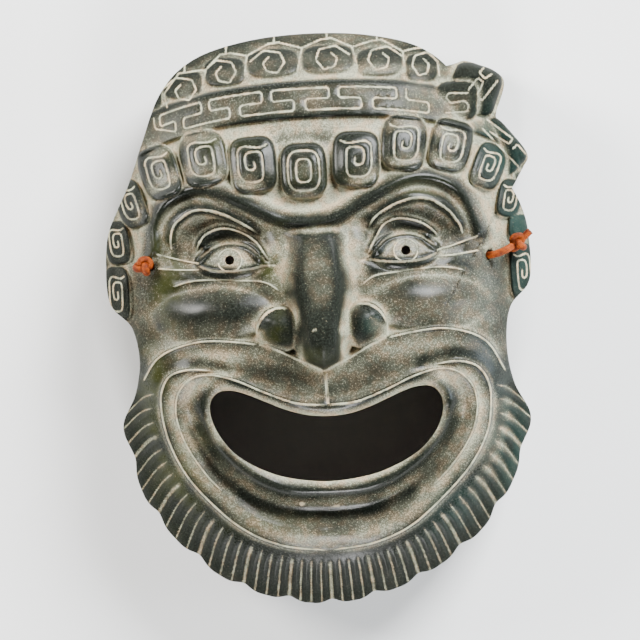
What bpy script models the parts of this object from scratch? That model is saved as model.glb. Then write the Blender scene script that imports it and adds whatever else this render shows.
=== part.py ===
"""A hollow ceramic comedy mask, lying face up on its back rim, with a leather thong through its temples.

The frame: +Z comes out of the face, +Y points to the crown and +X to the viewer's right. The lengths below
are in millimetres, and the meshes are written in metres.
"""

import math

import bmesh
import bpy
import numpy as np
from mathutils import Matrix, Vector

MM = 0.001

# The hand-made lean: how far the curls and the chin sit to the left, and how much the mouth slants
TOP_LEAN = 3.3
CHIN_LEAN = 2.2
MOUTH_SLANT = 0.03
# The heights between which each lean sets in: at the brow, at the chin, and over and under the mouth
BROW_BAND = (32, 44)
CHIN_BAND = (-45, -85)
MOUTH_BAND = (-5, -25)
BEARD_BAND = (-112, -85)

# The shell
WALL = 5.5
CROWN_Y = 120.5
CHIN_Y = -119.5
DOME_HALF_WIDTH = 92.0
DOME_HALF_HEIGHT = 124.0
DOME_RISE = 60.0
DOME_FOOT = 5.0
DOME_FLATNESS = 2.4
DOME_SQUARE_ABOVE = 2.8
DOME_SQUARE_BELOW = 2.3
RIM_ROUND = 1.6

# The half outline, seen from the front, from the crown down to the chin
OUTLINE = (
    (0, CROWN_Y), (26, 118.5), (48, 112), (62, 99), (71, 78), (78, 60), (87, 42), (89.3, 26), (88, 11),
    (79.5, 1), (77, -14), (79.5, -29), (86, -43), (82.5, -58), (74, -78), (57.5, -97), (33, -112.5),
    (0, CHIN_Y),
)
# The half rim on the table, which the wall runs back to under the curls and the ribbon
RIM = (
    (0, 116), (30, 113), (55, 102), (69, 80), (77, 50), (80, 20), (77, -10), (78, -35), (76, -60), (64, -84),
    (40, -104), (0, -114),
)
# The half mouth, from the middle of the upper lip round the corner to the middle of the lower lip
MOUTH = (
    (0, -40.3), (9, -39.5), (17.5, -37), (25.5, -33.6), (32, -30.8), (38, -28.9), (44, -29), (47.8, -32.5),
    (48.6, -38), (47, -44), (43.5, -50), (38, -55.8), (29, -61.3), (17, -65.6), (0, -67.6),
)

# The places on the mouth, the outline and the rim that the rings of the shell are lined up at
MOUTH_CORNER = (48.6, -38.0)
OUTLINE_SIDE = (84.0, -40.0)
RIM_SIDE = (78.0, -35.0)
# The hollow behind the nose
CORE_PLACE = (0.0, 8.5)
CORE_RADII = (19.0, 26.0)
CORE_RISE = 10.0

# The nose: a flat bridge, a ball at its tip, a slanted crease that it turns under over, and two wings. Each
# section of the bridge is a height, the flat's half width, the slope's width beside it, and the rise
NOSE_SECTIONS = (
    (36.0, 8.2, 7.0, 7.0), (16.0, 10.8, 7.0, 15.3), (4.0, 8.4, 6.2, 20.4), (-3.0, 8.0, 6.0, 23.3),
    (-22.0, 7.0, 5.8, 25.0),
)
NOSE_ROUND = 0.07
NOSE_END_Y = -21.5
NOSE_END_SLANT = 0.5
NOSE_UNDER = 13.5
NOSE_SOFT = 2.5
BALL_PLACE = (0.0, -4.5)
BALL_RADII = (14.5, 15.0)
BALL_RISE = 20.0
WING_PLACE = (17.8, -3.4)
WING_RADII = (9.8, 10.4)
WING_RISE = 13.5

# The eyes
EYE_PLACE = (36.8, 26.8)
EYEBALL_RADII = (15.0, 8.5)
EYEBALL_RISE = 6.0
SOCKET_PLACE = (38.0, 34.0)
SOCKET_RADII = (27.0, 17.0)
SOCKET_DEPTH = 7.0
PUPIL_RADIUS = 1.9

# The face's rolls, each a half line, a width and a rise
BROW_LINE = ((0, 40.5), (10, 42), (20, 46.5), (33, 53.5), (47, 57.5), (59.5, 53.5), (66, 45), (68.5, 33))
BROW_WIDTH = 2.5
BROW_RISE = 5.2
EYEBROW_LINE = ((57, 33), (51, 41), (41.5, 44), (32, 41.5), (25, 35))
EYEBROW_WIDTH = 3.2
EYEBROW_RISE = 5.0
CHEEK_PLACE = (45.0, 4.0)
CHEEK_RADII = (26.0, 12.0)
CHEEK_RISE = 6.5
UPPER_LIP_LINE = ((0, -29), (14, -25), (28, -18.5), (44, -14), (60, -15.5), (69, -24))
UPPER_LIP_WIDTH = 6.0
UPPER_LIP_RISE = 4.5
LIP_LINE = (
    (0, -72.3), (19, -70.6), (35, -62.5), (46, -51.5), (51.3, -41), (51, -33), (45.5, -26.2), (38, -26),
    (26, -31), (12, -36.2), (0, -37.6),
)
LIP_WIDTH = 2.6
LIP_RISE = 4.0
CHIN_LINE = ((0, -91), (22, -87.5), (40, -76), (54, -61), (61.5, -46), (62.5, -33), (57, -24))
CHIN_WIDTH = 4.2
CHIN_RISE = 3.2
CHIN_GROOVE_LINE = ((0, -80.5), (16, -79.5), (30, -74.5), (42, -65.5), (50, -55), (54.5, -44))
CHIN_GROOVE_WIDTH = 4.2
CHIN_GROOVE_DEPTH = 4.5

# The incised lines, each a half line; they share one width and depth
UNDER_EYE_LINE = ((60, 17.2), (48, 19), (34, 18), (23, 16.6), (17, 13))
MOUSTACHE_LINE = (
    (0, -21.3), (8, -17.8), (16, -13.4), (26, -9.3), (37, -7.4), (50, -6.5), (62, -9), (70, -14), (76, -24),
)
OUTER_RING_LINE = (
    (44, -20.8), (55, -19.2), (64, -21.5), (68.4, -28.5), (68.8, -38), (66.3, -50), (59.5, -63), (49, -75),
    (35, -87), (19, -94), (0, -96.6),
)
INNER_RING_LINE = (
    (0, -35.8), (12.5, -34.6), (25, -30), (37, -24.6), (47, -22), (55, -23), (61, -28.5), (63, -36.5),
    (61.3, -46), (57, -55),
)
LINE_WIDTH = 1.3
LINE_DEPTH = 1.8

# The curls: place, half sizes and turn in degrees of each, from the lowest on the left round to the lowest on
# the right
CURLS = (
    (-84.9, 15.5, 5.4, 11.8, 0), (-83.6, 37.0, 5.4, 9.2, 6), (-77.0, 52.8, 6.0, 10.4, 16),
    (-64.1, 65.3, 8.4, 11.4, 14), (-45.2, 69.9, 10.2, 11.7, 8), (-24.8, 66.3, 10.2, 12.2, 3),
    (-3.8, 62.4, 10.0, 12.0, 0), (18.4, 66.0, 10.4, 12.2, -4), (38.6, 71.6, 9.9, 11.7, -8),
    (58.1, 69.6, 9.0, 11.2, -16), (73.6, 60.2, 6.8, 10.0, -24), (81.6, 46.2, 5.2, 8.2, -14),
    (85.0, 34.0, 4.6, 5.4, -6), (85.6, 15.0, 5.6, 12.2, 0),
)
CURL_RISE = 6.0
CURL_SQUARE = 3.4
CURL_DIMPLE = 0.5

# The headband and the crown's cells
BAND_Y = 92.4
BAND_DROP = 0.0012
BAND_DROP_SIDE = 2e-7
BAND_HALF = 8.4
BAND_RISE = 2.4
CELL_X = (-67.0, -52.5, -34.5, -14.2, 8.8, 30.6, 48.0)
CELL_HALF = (5.5, 8.5, 8.8, 11.0, 11.0, 9.8, 6.8)
CELL_Y = 109.0
CELL_DROP = 0.0026
CELL_HALF_HEIGHT = 6.2
CELL_RISE = 2.2

# The ribbon bow: place, half sizes, turn in degrees and height of each flat
BOW_KNOT = (62.0, 88.3, 8.6, 8.2, -4.0, 41.0)
BOW_ENDS = ((70.0, 93.2, 10.6, 10.4, -22.0, 36.0), (78.6, 67.8, 11.8, 8.6, -52.0, 28.0))
BOW_SQUARE = 4.0

# The beard's flutes
FLUTE_COUNT = 24
FLUTE_SPREAD = 0.25
FLUTE_REACH = 2.85
FLUTE_DEPTH = 1.8
FLUTES_PER_LOCK = 4
LOCK_NOTCH = 2.0
BEARD_TOP_Y = -22.0
BEARD_START = 4.0
FLUTE_LEAN = 17.0
FLUTE_BULGE = 1.7

# The thong: its route starts in the left knot and ends in the right one
THONG_DIAMETER = 3.0
THONG_STEP = 2.6
CORD_HOLE_PLACES = {"left": (-70.6, 26.4), "right": (72.3, 22.8)}
CORD_HOLE_RADIUS = 2.5
THONG_ROUTE = (
    (-70.7, 26.4, 45.6), (-67.9, 26.2, 42.0), (-64.6, 25.4, 37.2), (-61.5, 23.0, 27.0), (-59.0, 17.0, 14.0),
    (-52.0, 7.0, 4.2), (-38.0, -1.0, 1.8), (-20.0, -7.0, 1.8), (-2.0, -4.0, 1.8), (14.0, 7.0, 1.8),
    (30.0, 15.0, 1.8), (44.0, 13.0, 2.2), (55.0, 12.0, 8.0), (60.5, 15.0, 20.0), (62.8, 19.0, 30.0),
    (66.6, 22.1, 37.6), (69.6, 22.6, 41.4), (72.4, 22.9, 44.8), (75.2, 23.4, 47.2), (78.6, 24.6, 47.2),
    (81.4, 26.0, 44.3),
)
KNOT_RADII = (3.4, 4.2, 3.3)
KNOT_LUMP = 0.1
KNOT_GAP = 0.5
TAIL_LENGTH = 4.5
TAIL_WAY = (0.72, 0.62, 0.1)

# How finely the shell is first worked out, and the triangles that it keeps
COLUMNS = 480
FRONT_ROWS = 74
INSIDE_ROWS = 22
MASK_TRIANGLES = 8300
CURVE_STEP = 1.0


def smooth_curve(points, closed=False):
    """A smooth curve through the points, with a new point about every CURVE_STEP (Catmull-Rom)."""
    points = np.array(points, float)
    if closed:
        padded = np.vstack([points[-1], points, points[:2]])
    else:
        padded = np.vstack([2 * points[0] - points[1], points, 2 * points[-1] - points[-2]])
    pieces = []
    for a, b, c, d in zip(padded, padded[1:], padded[2:], padded[3:]):
        count = max(2, int(np.linalg.norm(c - b) / CURVE_STEP))
        t = (np.arange(count) / count)[:, None]
        pieces.append(
            0.5 * (2 * b + (c - a) * t + (2 * a - 5 * b + 4 * c - d) * t**2 + (3 * b - a - 3 * c + d) * t**3)
        )
    if not closed:
        pieces.append(points[-1:])
    return np.vstack(pieces)


def mirrored_loop(half):
    """A closed loop from a half one that starts and ends on the plane x = 0."""
    half = np.array(half, float)
    other = half[-2:0:-1] * (-1, 1)
    return smooth_curve(np.vstack([half, other]), closed=True)


def spread(loop, marks, counts):
    """Points along a loop, with counts[i] of them from marks[i] to the next mark."""
    found = []
    at = [int(np.linalg.norm(loop - np.array(m), axis=1).argmin()) for m in marks]
    for i, count in enumerate(counts):
        start, stop = at[i], at[(i + 1) % len(at)]
        if stop <= start:
            stop += len(loop)
        run = loop[np.arange(start, stop + 1) % len(loop)]
        along = np.concatenate([[0], np.cumsum(np.linalg.norm(np.diff(run, axis=0), axis=1))])
        where = np.linspace(0, along[-1], count, endpoint=False)
        found.append(np.stack([np.interp(where, along, run[:, k]) for k in (0, 1)], axis=1))
    return np.vstack(found)


def distance(x, y, curve, reach):
    """How far each point is from a curve, or reach where it is further."""
    near = np.full(x.shape, float(reach))
    low, high = curve.min(axis=0) - reach, curve.max(axis=0) + reach
    inside = (x > low[0]) & (x < high[0]) & (y > low[1]) & (y < high[1])
    if not inside.any():
        return near
    px, py = x[inside][:, None], y[inside][:, None]
    a, b = curve[:-1], curve[1:]
    d = b - a
    t = ((px - a[:, 0]) * d[:, 0] + (py - a[:, 1]) * d[:, 1]) / np.maximum((d**2).sum(axis=1), 1e-9)
    t = np.clip(t, 0, 1)
    gap = np.hypot(px - a[:, 0] - t * d[:, 0], py - a[:, 1] - t * d[:, 1]).min(axis=1)
    near[inside] = np.minimum(gap, reach)
    return near


def roll(x, y, line, width, rise):
    """A rounded ridge, or a groove where rise is negative, along a line; its foot is at 2.5 widths."""
    gap = distance(x, y, smooth_curve(line), 2.5 * width)
    return rise * (np.cos(math.pi * gap / (2.5 * width)) + 1) / 2


def mound(x, y, place, radii, rise, power=1.0):
    """A smooth mound over an ellipse."""
    inside = 1 - ((x - place[0]) / radii[0]) ** 2 - ((y - place[1]) / radii[1]) ** 2
    return rise * np.clip(inside, 0, 1) ** power


def step(low, high, value):
    """A smooth step from 0 at low to 1 at high."""
    t = np.clip((value - low) / (high - low), 0, 1)
    return t * t * (3 - 2 * t)


def pad(x, y, place, half, turn, square):
    """How far inside a rounded rectangle a point is: 1 in the middle, 0 on its edge and outside."""
    c, s = math.cos(turn), math.sin(turn)
    u, v = (x - place[0]) * c + (y - place[1]) * s, (y - place[1]) * c - (x - place[0]) * s
    return np.clip(1 - np.abs(u / half[0]) ** square - np.abs(v / half[1]) ** square, 0, 1)


def lean(x, y):
    """How far a point of the even face lies to the left of and below its even place, as modelled by hand."""
    left = TOP_LEAN * step(*BROW_BAND, y) * (1 - (x / DOME_HALF_WIDTH) ** 2) + CHIN_LEAN * step(*CHIN_BAND, y)
    return left, MOUTH_SLANT * x * step(*MOUTH_BAND, y) * step(*BEARD_BAND, y)


def leaned(loop, over):
    """A loop with the hand-made lean below a height."""
    left, down = lean(loop[:, 0], loop[:, 1])
    return loop - np.column_stack([left, down]) * (loop[:, 1] < over)[:, None]


def dome(x, y, inset=0.0):
    """The plain rounded form of the face. The inside is the same form with an inset."""
    a, b = DOME_HALF_WIDTH - inset, DOME_HALF_HEIGHT - inset
    square = np.where(y > 0, DOME_SQUARE_ABOVE, DOME_SQUARE_BELOW)
    share = (np.abs(x / a) ** square + np.abs(y / b) ** square) ** (DOME_FLATNESS / square)
    return DOME_FOOT + (DOME_RISE - inset) * np.sqrt(np.clip(1 - share, 0, 1))


def hollows(s, y):
    """The broad hollows that the inside follows too: the eye sockets and the groove under the lower lip."""
    sockets = mound(s, y, SOCKET_PLACE, SOCKET_RADII, -SOCKET_DEPTH, 1.5)
    return sockets + roll(s, y, CHIN_GROOVE_LINE, CHIN_GROOVE_WIDTH, -CHIN_GROOVE_DEPTH)


def join_smoothly(first, second, soft):
    """The higher of two heights, rounded where they meet."""
    return (first + second + np.sqrt((first - second) ** 2 + soft**2) - soft) / 2


def nose(s, y):
    """The bridge, which widens and rises to the tip, the ball and the wings, all turned under at the end."""
    up, *sizes = np.array(NOSE_SECTIONS)[::-1].T
    flat, side, rise = (np.interp(y, up, size) for size in sizes)
    bridge = rise * (1 - NOSE_ROUND * np.clip(s / flat, 0, 1) ** 2)
    bridge = bridge * (1 - step(flat - side / 2, flat + side, s))
    bridge = bridge * step(up[-1] + 4, up[-1] - 1, y)
    ball = mound(s, y, BALL_PLACE, BALL_RADII, BALL_RISE, 0.7)
    wing = mound(s, y, WING_PLACE, WING_RADII, WING_RISE, 0.6)
    body = join_smoothly(join_smoothly(bridge, ball, NOSE_SOFT), wing, NOSE_SOFT / 2)
    over = np.clip((y - NOSE_END_Y - NOSE_END_SLANT * s) / NOSE_UNDER, 0, 1)
    return body * np.sqrt(1 - (1 - over) ** 2)


def curls(x, y):
    """The row of rounded curls, each with a shallow dimple that its spiral is cut in."""
    rise = np.zeros(x.shape)
    for cx, cy, half_x, half_y, turn in CURLS:
        inside = pad(x, y, (cx, cy), (half_x, half_y), math.radians(turn), CURL_SQUARE)
        ring = np.clip(1 - ((1 - inside) ** 0.5 - 0.55) ** 2 / 0.05, 0, 1)
        rise = np.maximum(rise, CURL_RISE * inside**0.45 - CURL_DIMPLE * ring * (inside > 0))
    return rise


def crown(x, y):
    """The headband and the row of cells above it."""
    middle = BAND_Y - BAND_DROP * x**2 - BAND_DROP_SIDE * x**4
    band = BAND_RISE * (1 - step(BAND_HALF - 1.5, BAND_HALF + 0.5, np.abs(y - middle)))
    cells = np.zeros(x.shape)
    for cx, half in zip(CELL_X, CELL_HALF):
        place = (cx, CELL_Y - CELL_DROP * cx**2)
        cells = np.maximum(cells, CELL_RISE * pad(x, y, place, (half, CELL_HALF_HEIGHT), 0.0, 3.0) ** 0.4)
    return np.maximum(band, cells)


def beard_edge(outline):
    """The outline beside the beard from the chin up to its top, and how far along it each point is."""
    edge = outline[(outline[:, 0] >= 0) & (outline[:, 1] < BEARD_TOP_Y + 8)]
    edge = edge[np.argsort(np.arctan2(edge[:, 0], -edge[:, 1]))]
    return edge, np.concatenate([[0], np.cumsum(np.linalg.norm(np.diff(edge, axis=0), axis=1))])


def flute_shares():
    """How far from the chin to the beard's top each flute is, closer together at the chin than at the top."""
    share = np.arange(FLUTE_COUNT) / FLUTE_COUNT
    return share * (1 - FLUTE_SPREAD) + FLUTE_SPREAD * share**2


def flute_lines(outline):
    """The lines between the beard's flutes, from the outer ring to the outline, one half of them."""
    ring = smooth_curve(OUTER_RING_LINE)[::-1]
    ring = ring[ring[:, 1] < BEARD_TOP_Y]
    edge, length = beard_edge(outline)
    along = np.concatenate([[0], np.cumsum(np.linalg.norm(np.diff(ring, axis=0), axis=1))])
    lines = []
    for share in flute_shares():
        inner = np.array([np.interp(share * along[-1], along, ring[:, k]) for k in (0, 1)])
        at = share * (length[-1] - FLUTE_LEAN)
        outer = np.array([np.interp(at, length, edge[:, k]) for k in (0, 1)])
        way = (outer - inner) / np.linalg.norm(outer - inner)
        up = np.array([-way[1], way[0]]) * FLUTE_BULGE * share
        lines.append(np.array([inner + BEARD_START * way, (inner + outer) / 2 + up, outer + way]))
    return lines


def beard(s, y, lines):
    """The flutes cut between the locks' strands."""
    cut = np.zeros(s.shape)
    for i, line in enumerate(lines):
        gap = distance(s, y, line, FLUTE_REACH)
        deep = FLUTE_DEPTH * (1.4 if i % FLUTES_PER_LOCK == 0 else 1.0)
        cut = np.maximum(cut, deep * (1 - gap / FLUTE_REACH) ** 1.3)
    return -cut


def ribbon(x, y, z):
    """The ribbon bow's knot and two ends, which stand at heights of their own beside the headband."""
    for cx, cy, half_x, half_y, turn, height in (*reversed(BOW_ENDS), BOW_KNOT):
        share = pad(x, y, (cx, cy), (half_x, half_y), math.radians(turn), BOW_SQUARE) ** 0.3
        z = np.where(share > 0, np.maximum(z, z + (height - z) * share), z)
    return z


def front(x, y, lines):
    """The height of the outer face over the back rim's plane."""
    z = dome(x, y)
    band = crown(x, y)
    face_x, face_y = x, y
    left, down = lean(x, y)
    s, y = np.abs(x + left), y + down
    z = z + hollows(s, y)
    z = z + roll(s, y, BROW_LINE, BROW_WIDTH, BROW_RISE)
    z = z + roll(s, y, EYEBROW_LINE, EYEBROW_WIDTH, EYEBROW_RISE)
    z = z + mound(s, y, EYE_PLACE, EYEBALL_RADII, EYEBALL_RISE, 0.8)
    z = z + mound(s, y, CHEEK_PLACE, CHEEK_RADII, CHEEK_RISE)
    z = z + roll(s, y, UPPER_LIP_LINE, UPPER_LIP_WIDTH, UPPER_LIP_RISE)
    z = z + roll(s, y, LIP_LINE, LIP_WIDTH, LIP_RISE) + roll(s, y, CHIN_LINE, CHIN_WIDTH, CHIN_RISE)
    z = z + nose(s, y) + curls(face_x, face_y) + band + beard(s, y, lines)
    for line in (UNDER_EYE_LINE, MOUSTACHE_LINE, OUTER_RING_LINE, INNER_RING_LINE):
        z = z + roll(s, y, line, LINE_WIDTH, -LINE_DEPTH)
    return ribbon(face_x, face_y, z)


def inside(x, y):
    """The height of the hollow's roof: the plain dome set in by the wall, with the broad forms only."""
    s = np.abs(x)
    core = mound(s, y, CORE_PLACE, CORE_RADII, CORE_RISE, 2.0)
    return dome(x, y, WALL) + hollows(s, y) + core


def outline_loop():
    """The outline seen from the front: the half one mirrored, with the beard's notches and the bow's ends."""
    loop = mirrored_loop(OUTLINE)
    below = loop[:, 1] < BEARD_TOP_Y - 6
    turn = np.arctan2(np.abs(loop[:, 0]), -loop[:, 1])
    side, along = beard_edge(loop)
    where = np.interp(turn, np.arctan2(side[:, 0], -side[:, 1]), along)
    ends = np.append(flute_shares()[::FLUTES_PER_LOCK], 1.0) * (along[-1] - FLUTE_LEAN)
    locks = np.interp(where, ends, np.append(np.arange(len(ends) - 1), len(ends) - 1.5))
    notch = LOCK_NOTCH * np.abs(np.cos(math.pi * locks)) ** 6 * below
    loop = loop * (1 - notch / np.linalg.norm(loop, axis=1))[:, None]
    loop = leaned(loop, 0)
    angle, radius = np.arctan2(loop[:, 1], loop[:, 0]), np.linalg.norm(loop, axis=1)
    order = np.argsort(angle)
    fine = np.linspace(-math.pi, math.pi, 2000, endpoint=False)
    radius = np.interp(fine, angle[order], radius[order], period=2 * math.pi)
    for cx, cy, half_x, half_y, turned, _ in BOW_ENDS:
        radius = np.maximum(radius, pad_reach(fine, (cx, cy), (half_x, half_y), math.radians(turned)))
    radius = np.convolve(np.tile(radius, 3), np.ones(9) / 9, "same")[len(fine):2 * len(fine)]
    order = np.argsort(-fine)
    return np.stack([radius * np.cos(fine), radius * np.sin(fine)], axis=1)[order]


def pad_reach(angle, place, half, turn):
    """How far out from the middle a rounded rectangle reaches, at each angle."""
    t = np.linspace(0, 2 * math.pi, 400)
    u = half[0] * np.sign(np.cos(t)) * np.abs(np.cos(t)) ** (2 / BOW_SQUARE)
    v = half[1] * np.sign(np.sin(t)) * np.abs(np.sin(t)) ** (2 / BOW_SQUARE)
    x = place[0] + u * math.cos(turn) - v * math.sin(turn)
    y = place[1] + u * math.sin(turn) + v * math.cos(turn)
    reach = np.zeros(angle.shape)
    near = np.arctan2(y, x)
    for a, r in zip(near, np.hypot(x, y)):
        close = np.abs(angle - a) < 0.012
        reach[close] = np.maximum(reach[close], r)
    return reach


def shell_rings():
    """The rings of the shell, from the mouth's outer edge over the face, round the rim and back inside."""
    corner, side = MOUTH_CORNER, OUTLINE_SIDE
    counts = (3 * COLUMNS // 10, COLUMNS // 5, COLUMNS // 5, 3 * COLUMNS // 10)
    mouth = spread(mirrored_loop(MOUTH), (MOUTH[0], corner, MOUTH[-1], (-corner[0], corner[1])), counts)
    mouth = leaned(mouth, 0)
    marks = ((0, CROWN_Y), side, (0, CHIN_Y), (-side[0], side[1]))
    outline = outline_loop()
    edge = spread(outline, marks, counts)
    rim = spread(mirrored_loop(RIM), (RIM[0], RIM_SIDE, RIM[-1], (-RIM_SIDE[0], RIM_SIDE[1])), counts)
    lines = flute_lines(mirrored_loop(OUTLINE))
    rings = []
    for t in np.linspace(0, 1, FRONT_ROWS):
        plan = mouth + (edge - mouth) * t
        rings.append(np.column_stack([plan, front(plan[:, 0], plan[:, 1], lines)]))
    top = rings[-1]
    away = rim / np.linalg.norm(rim, axis=1)[:, None]
    for t in (0.3, 0.65):
        plan = edge + (rim - edge) * t
        rings.append(np.column_stack([plan, top[:, 2] + (RIM_ROUND - top[:, 2]) * t]))
    rings.append(np.column_stack([rim, np.full(len(rim), RIM_ROUND)]))
    rings.append(np.column_stack([rim - away * RIM_ROUND, np.zeros(len(rim))]))
    bore = rim - away * WALL
    rings.append(np.column_stack([bore, np.zeros(len(rim))]))
    roof = inside(bore[:, 0], bore[:, 1])
    rings.append(np.column_stack([bore, roof / 2]))
    for t in np.linspace(1, 0, INSIDE_ROWS):
        plan = mouth + (bore - mouth) * t
        rings.append(np.column_stack([plan, inside(plan[:, 0], plan[:, 1])]))
    return np.array(rings)


def material(name, colour, roughness, metallic=0.0):
    """A plain Principled material."""
    made = bpy.data.materials.new(name)
    made.use_nodes = True
    shader = made.node_tree.nodes["Principled BSDF"]
    shader.inputs["Base Color"].default_value = (*colour, 1)
    shader.inputs["Roughness"].default_value = roughness
    shader.inputs["Metallic"].default_value = metallic
    return made


def add_object(name, mesh, collection, finish=None):
    """A new object in a collection."""
    made = bpy.data.objects.new(name, mesh)
    if finish:
        mesh.materials.append(finish)
    collection.objects.link(made)
    return made


def cylinder_cutter(name, place, way, radius, length, collection, sides=14):
    """A round cutter with its middle at a place, along a way."""
    mesh = bpy.data.meshes.new(name)
    bm = bmesh.new()
    turn = Vector(way).to_track_quat("Z", "Y").to_matrix().to_4x4()
    bmesh.ops.create_cone(
        bm, cap_ends=True, segments=sides, radius1=radius * MM, radius2=radius * MM, depth=length * MM,
        matrix=Matrix.Translation(Vector(place) * MM) @ turn,
    )
    bm.to_mesh(mesh)
    bm.free()
    made = add_object(name, mesh, collection)
    made.hide_render = True
    made.display_type = "WIRE"
    return made


def cut(target, cutter):
    """Take a cutter away from an object."""
    made = target.modifiers.new(cutter.name, "BOOLEAN")
    made.operation = "DIFFERENCE"
    made.object = cutter


def surface_point(x, y):
    """A point on the front and the way out of the wall there."""
    none = []
    near = np.array([x, x + 1.0, x - 1.0, x, x]), np.array([y, y, y, y + 1.0, y - 1.0])
    z = dome(*near)
    height = front(np.array([x]), np.array([y]), none)[0]
    way = Vector((-(z[1] - z[2]) / 2, -(z[3] - z[4]) / 2, 1)).normalized()
    return Vector((x, y, height)), way


def build_mask(parts, cutters, finish):
    """The shell, with its pupils and the thong's two holes."""
    rings = shell_rings() * MM
    rows, columns = rings.shape[:2]
    at = np.arange(rows * columns).reshape(rows, columns)
    below = np.roll(at, -1, axis=0)
    quads = np.stack([at, np.roll(at, -1, axis=1), np.roll(below, -1, axis=1), below], axis=-1).reshape(-1, 4)
    mesh = bpy.data.meshes.new("mask")
    mesh.from_pydata(rings.reshape(-1, 3).tolist(), [], quads.tolist())
    mesh.validate()
    mesh.update()
    mask = add_object("mask", mesh, parts, finish)
    fewer = mask.modifiers.new("fewer", "DECIMATE")
    fewer.ratio = MASK_TRIANGLES / (2 * len(quads))
    for side, word in ((-1, "left"), (1, "right")):
        eye, _ = surface_point(side * EYE_PLACE[0], EYE_PLACE[1])
        cut(mask, cylinder_cutter(f"pupil_{word}", eye, (0, 0, 1), PUPIL_RADIUS, 5 * WALL, cutters))
        hole, way = surface_point(*CORD_HOLE_PLACES[word])
        cut(mask, cylinder_cutter(f"cord_hole_{word}", hole, way, CORD_HOLE_RADIUS, 5 * WALL, cutters))
    return mask


def build_thong(parts, finish):
    """The thong's tube, on points read from one smooth curve."""
    line = smooth_curve(THONG_ROUTE)
    along = np.concatenate([[0], np.cumsum(np.linalg.norm(np.diff(line, axis=0), axis=1))])
    count = int(along[-1] / (THONG_DIAMETER * THONG_STEP)) + 1
    where = np.linspace(0, along[-1], count)
    points = np.stack([np.interp(where, along, line[:, k]) for k in range(3)], axis=1) * MM
    curve = bpy.data.curves.new("thong", "CURVE")
    curve.dimensions = "3D"
    curve.bevel_depth = THONG_DIAMETER / 2 * MM
    curve.bevel_resolution = 2
    curve.use_fill_caps = True
    spline = curve.splines.new("POLY")
    spline.points.add(len(points) - 1)
    for point, place in zip(spline.points, points):
        point.co = (*place, 1)
    return add_object("thong", curve, parts, finish)


def build_knot(name, end, way, parts, finish):
    """A knot beyond the thong's end: a bun with three twisted lumps, and a tail on the right one."""
    way = Vector(way).normalized()
    middle = Vector(end) + way * (KNOT_RADII[2] + KNOT_GAP)
    mesh = bpy.data.meshes.new(name)
    bm = bmesh.new()
    bmesh.ops.create_uvsphere(bm, u_segments=16, v_segments=10, radius=1.0)
    for v in bm.verts:
        turn = math.atan2(v.co.y, v.co.x)
        lump = 1 + KNOT_LUMP * math.cos(3 * turn + 4 * v.co.z) * (1 - v.co.z**2)
        v.co = Vector((v.co.x * KNOT_RADII[0] * lump, v.co.y * KNOT_RADII[1] * lump, v.co.z * KNOT_RADII[2]))
    turn = way.to_track_quat("Z", "Y").to_matrix().to_4x4()
    bm.transform(Matrix.Scale(MM, 4) @ Matrix.Translation(middle) @ turn)
    bm.to_mesh(mesh)
    bm.free()
    return add_object(name, mesh, parts, finish), middle


def build_tail(knot, middle, way, cutters):
    """The thong's short free end, joined to its knot."""
    tail = cylinder_cutter(
        "tail", middle + Vector(way) * (KNOT_RADII[2] + TAIL_LENGTH / 2), way, THONG_DIAMETER / 2,
        TAIL_LENGTH + KNOT_RADII[2], cutters, sides=10,
    )
    join = knot.modifiers.new("tail", "BOOLEAN")
    join.operation = "UNION"
    join.object = tail


def main():
    for old in list(bpy.data.objects):
        bpy.data.objects.remove(old, do_unlink=True)
    parts = bpy.data.collections.new("comedy_mask")
    cutters = bpy.data.collections.new("cutters")
    for collection in (parts, cutters):
        bpy.context.scene.collection.children.link(collection)
    ceramic = material("glazed ceramic", (0.075, 0.088, 0.078), 0.35)
    leather = material("leather", (0.42, 0.13, 0.035), 0.6)
    build_mask(parts, cutters, ceramic)
    build_thong(parts, leather)
    route = [Vector(p) for p in THONG_ROUTE]
    build_knot("knot_left", route[0], route[0] - route[1], parts, leather)
    knot, middle = build_knot("knot_right", route[-1], route[-1] - route[-2], parts, leather)
    build_tail(knot, middle, Vector(TAIL_WAY).normalized(), cutters)


main()
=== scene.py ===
"""The looks of a hollow ceramic comedy mask that lies face up on its back rim.

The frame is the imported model's: +Z comes out of the face, +Y points to the crown and +X to the viewer's
right. The mask's own sizes are in millimetres, as in the model, and its meshes are written in metres.
"""

import logging
import math
from dataclasses import dataclass
from enum import Enum
from functools import cached_property

import bmesh
import bpy
import numpy as np
from mathutils import Matrix, Vector


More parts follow.
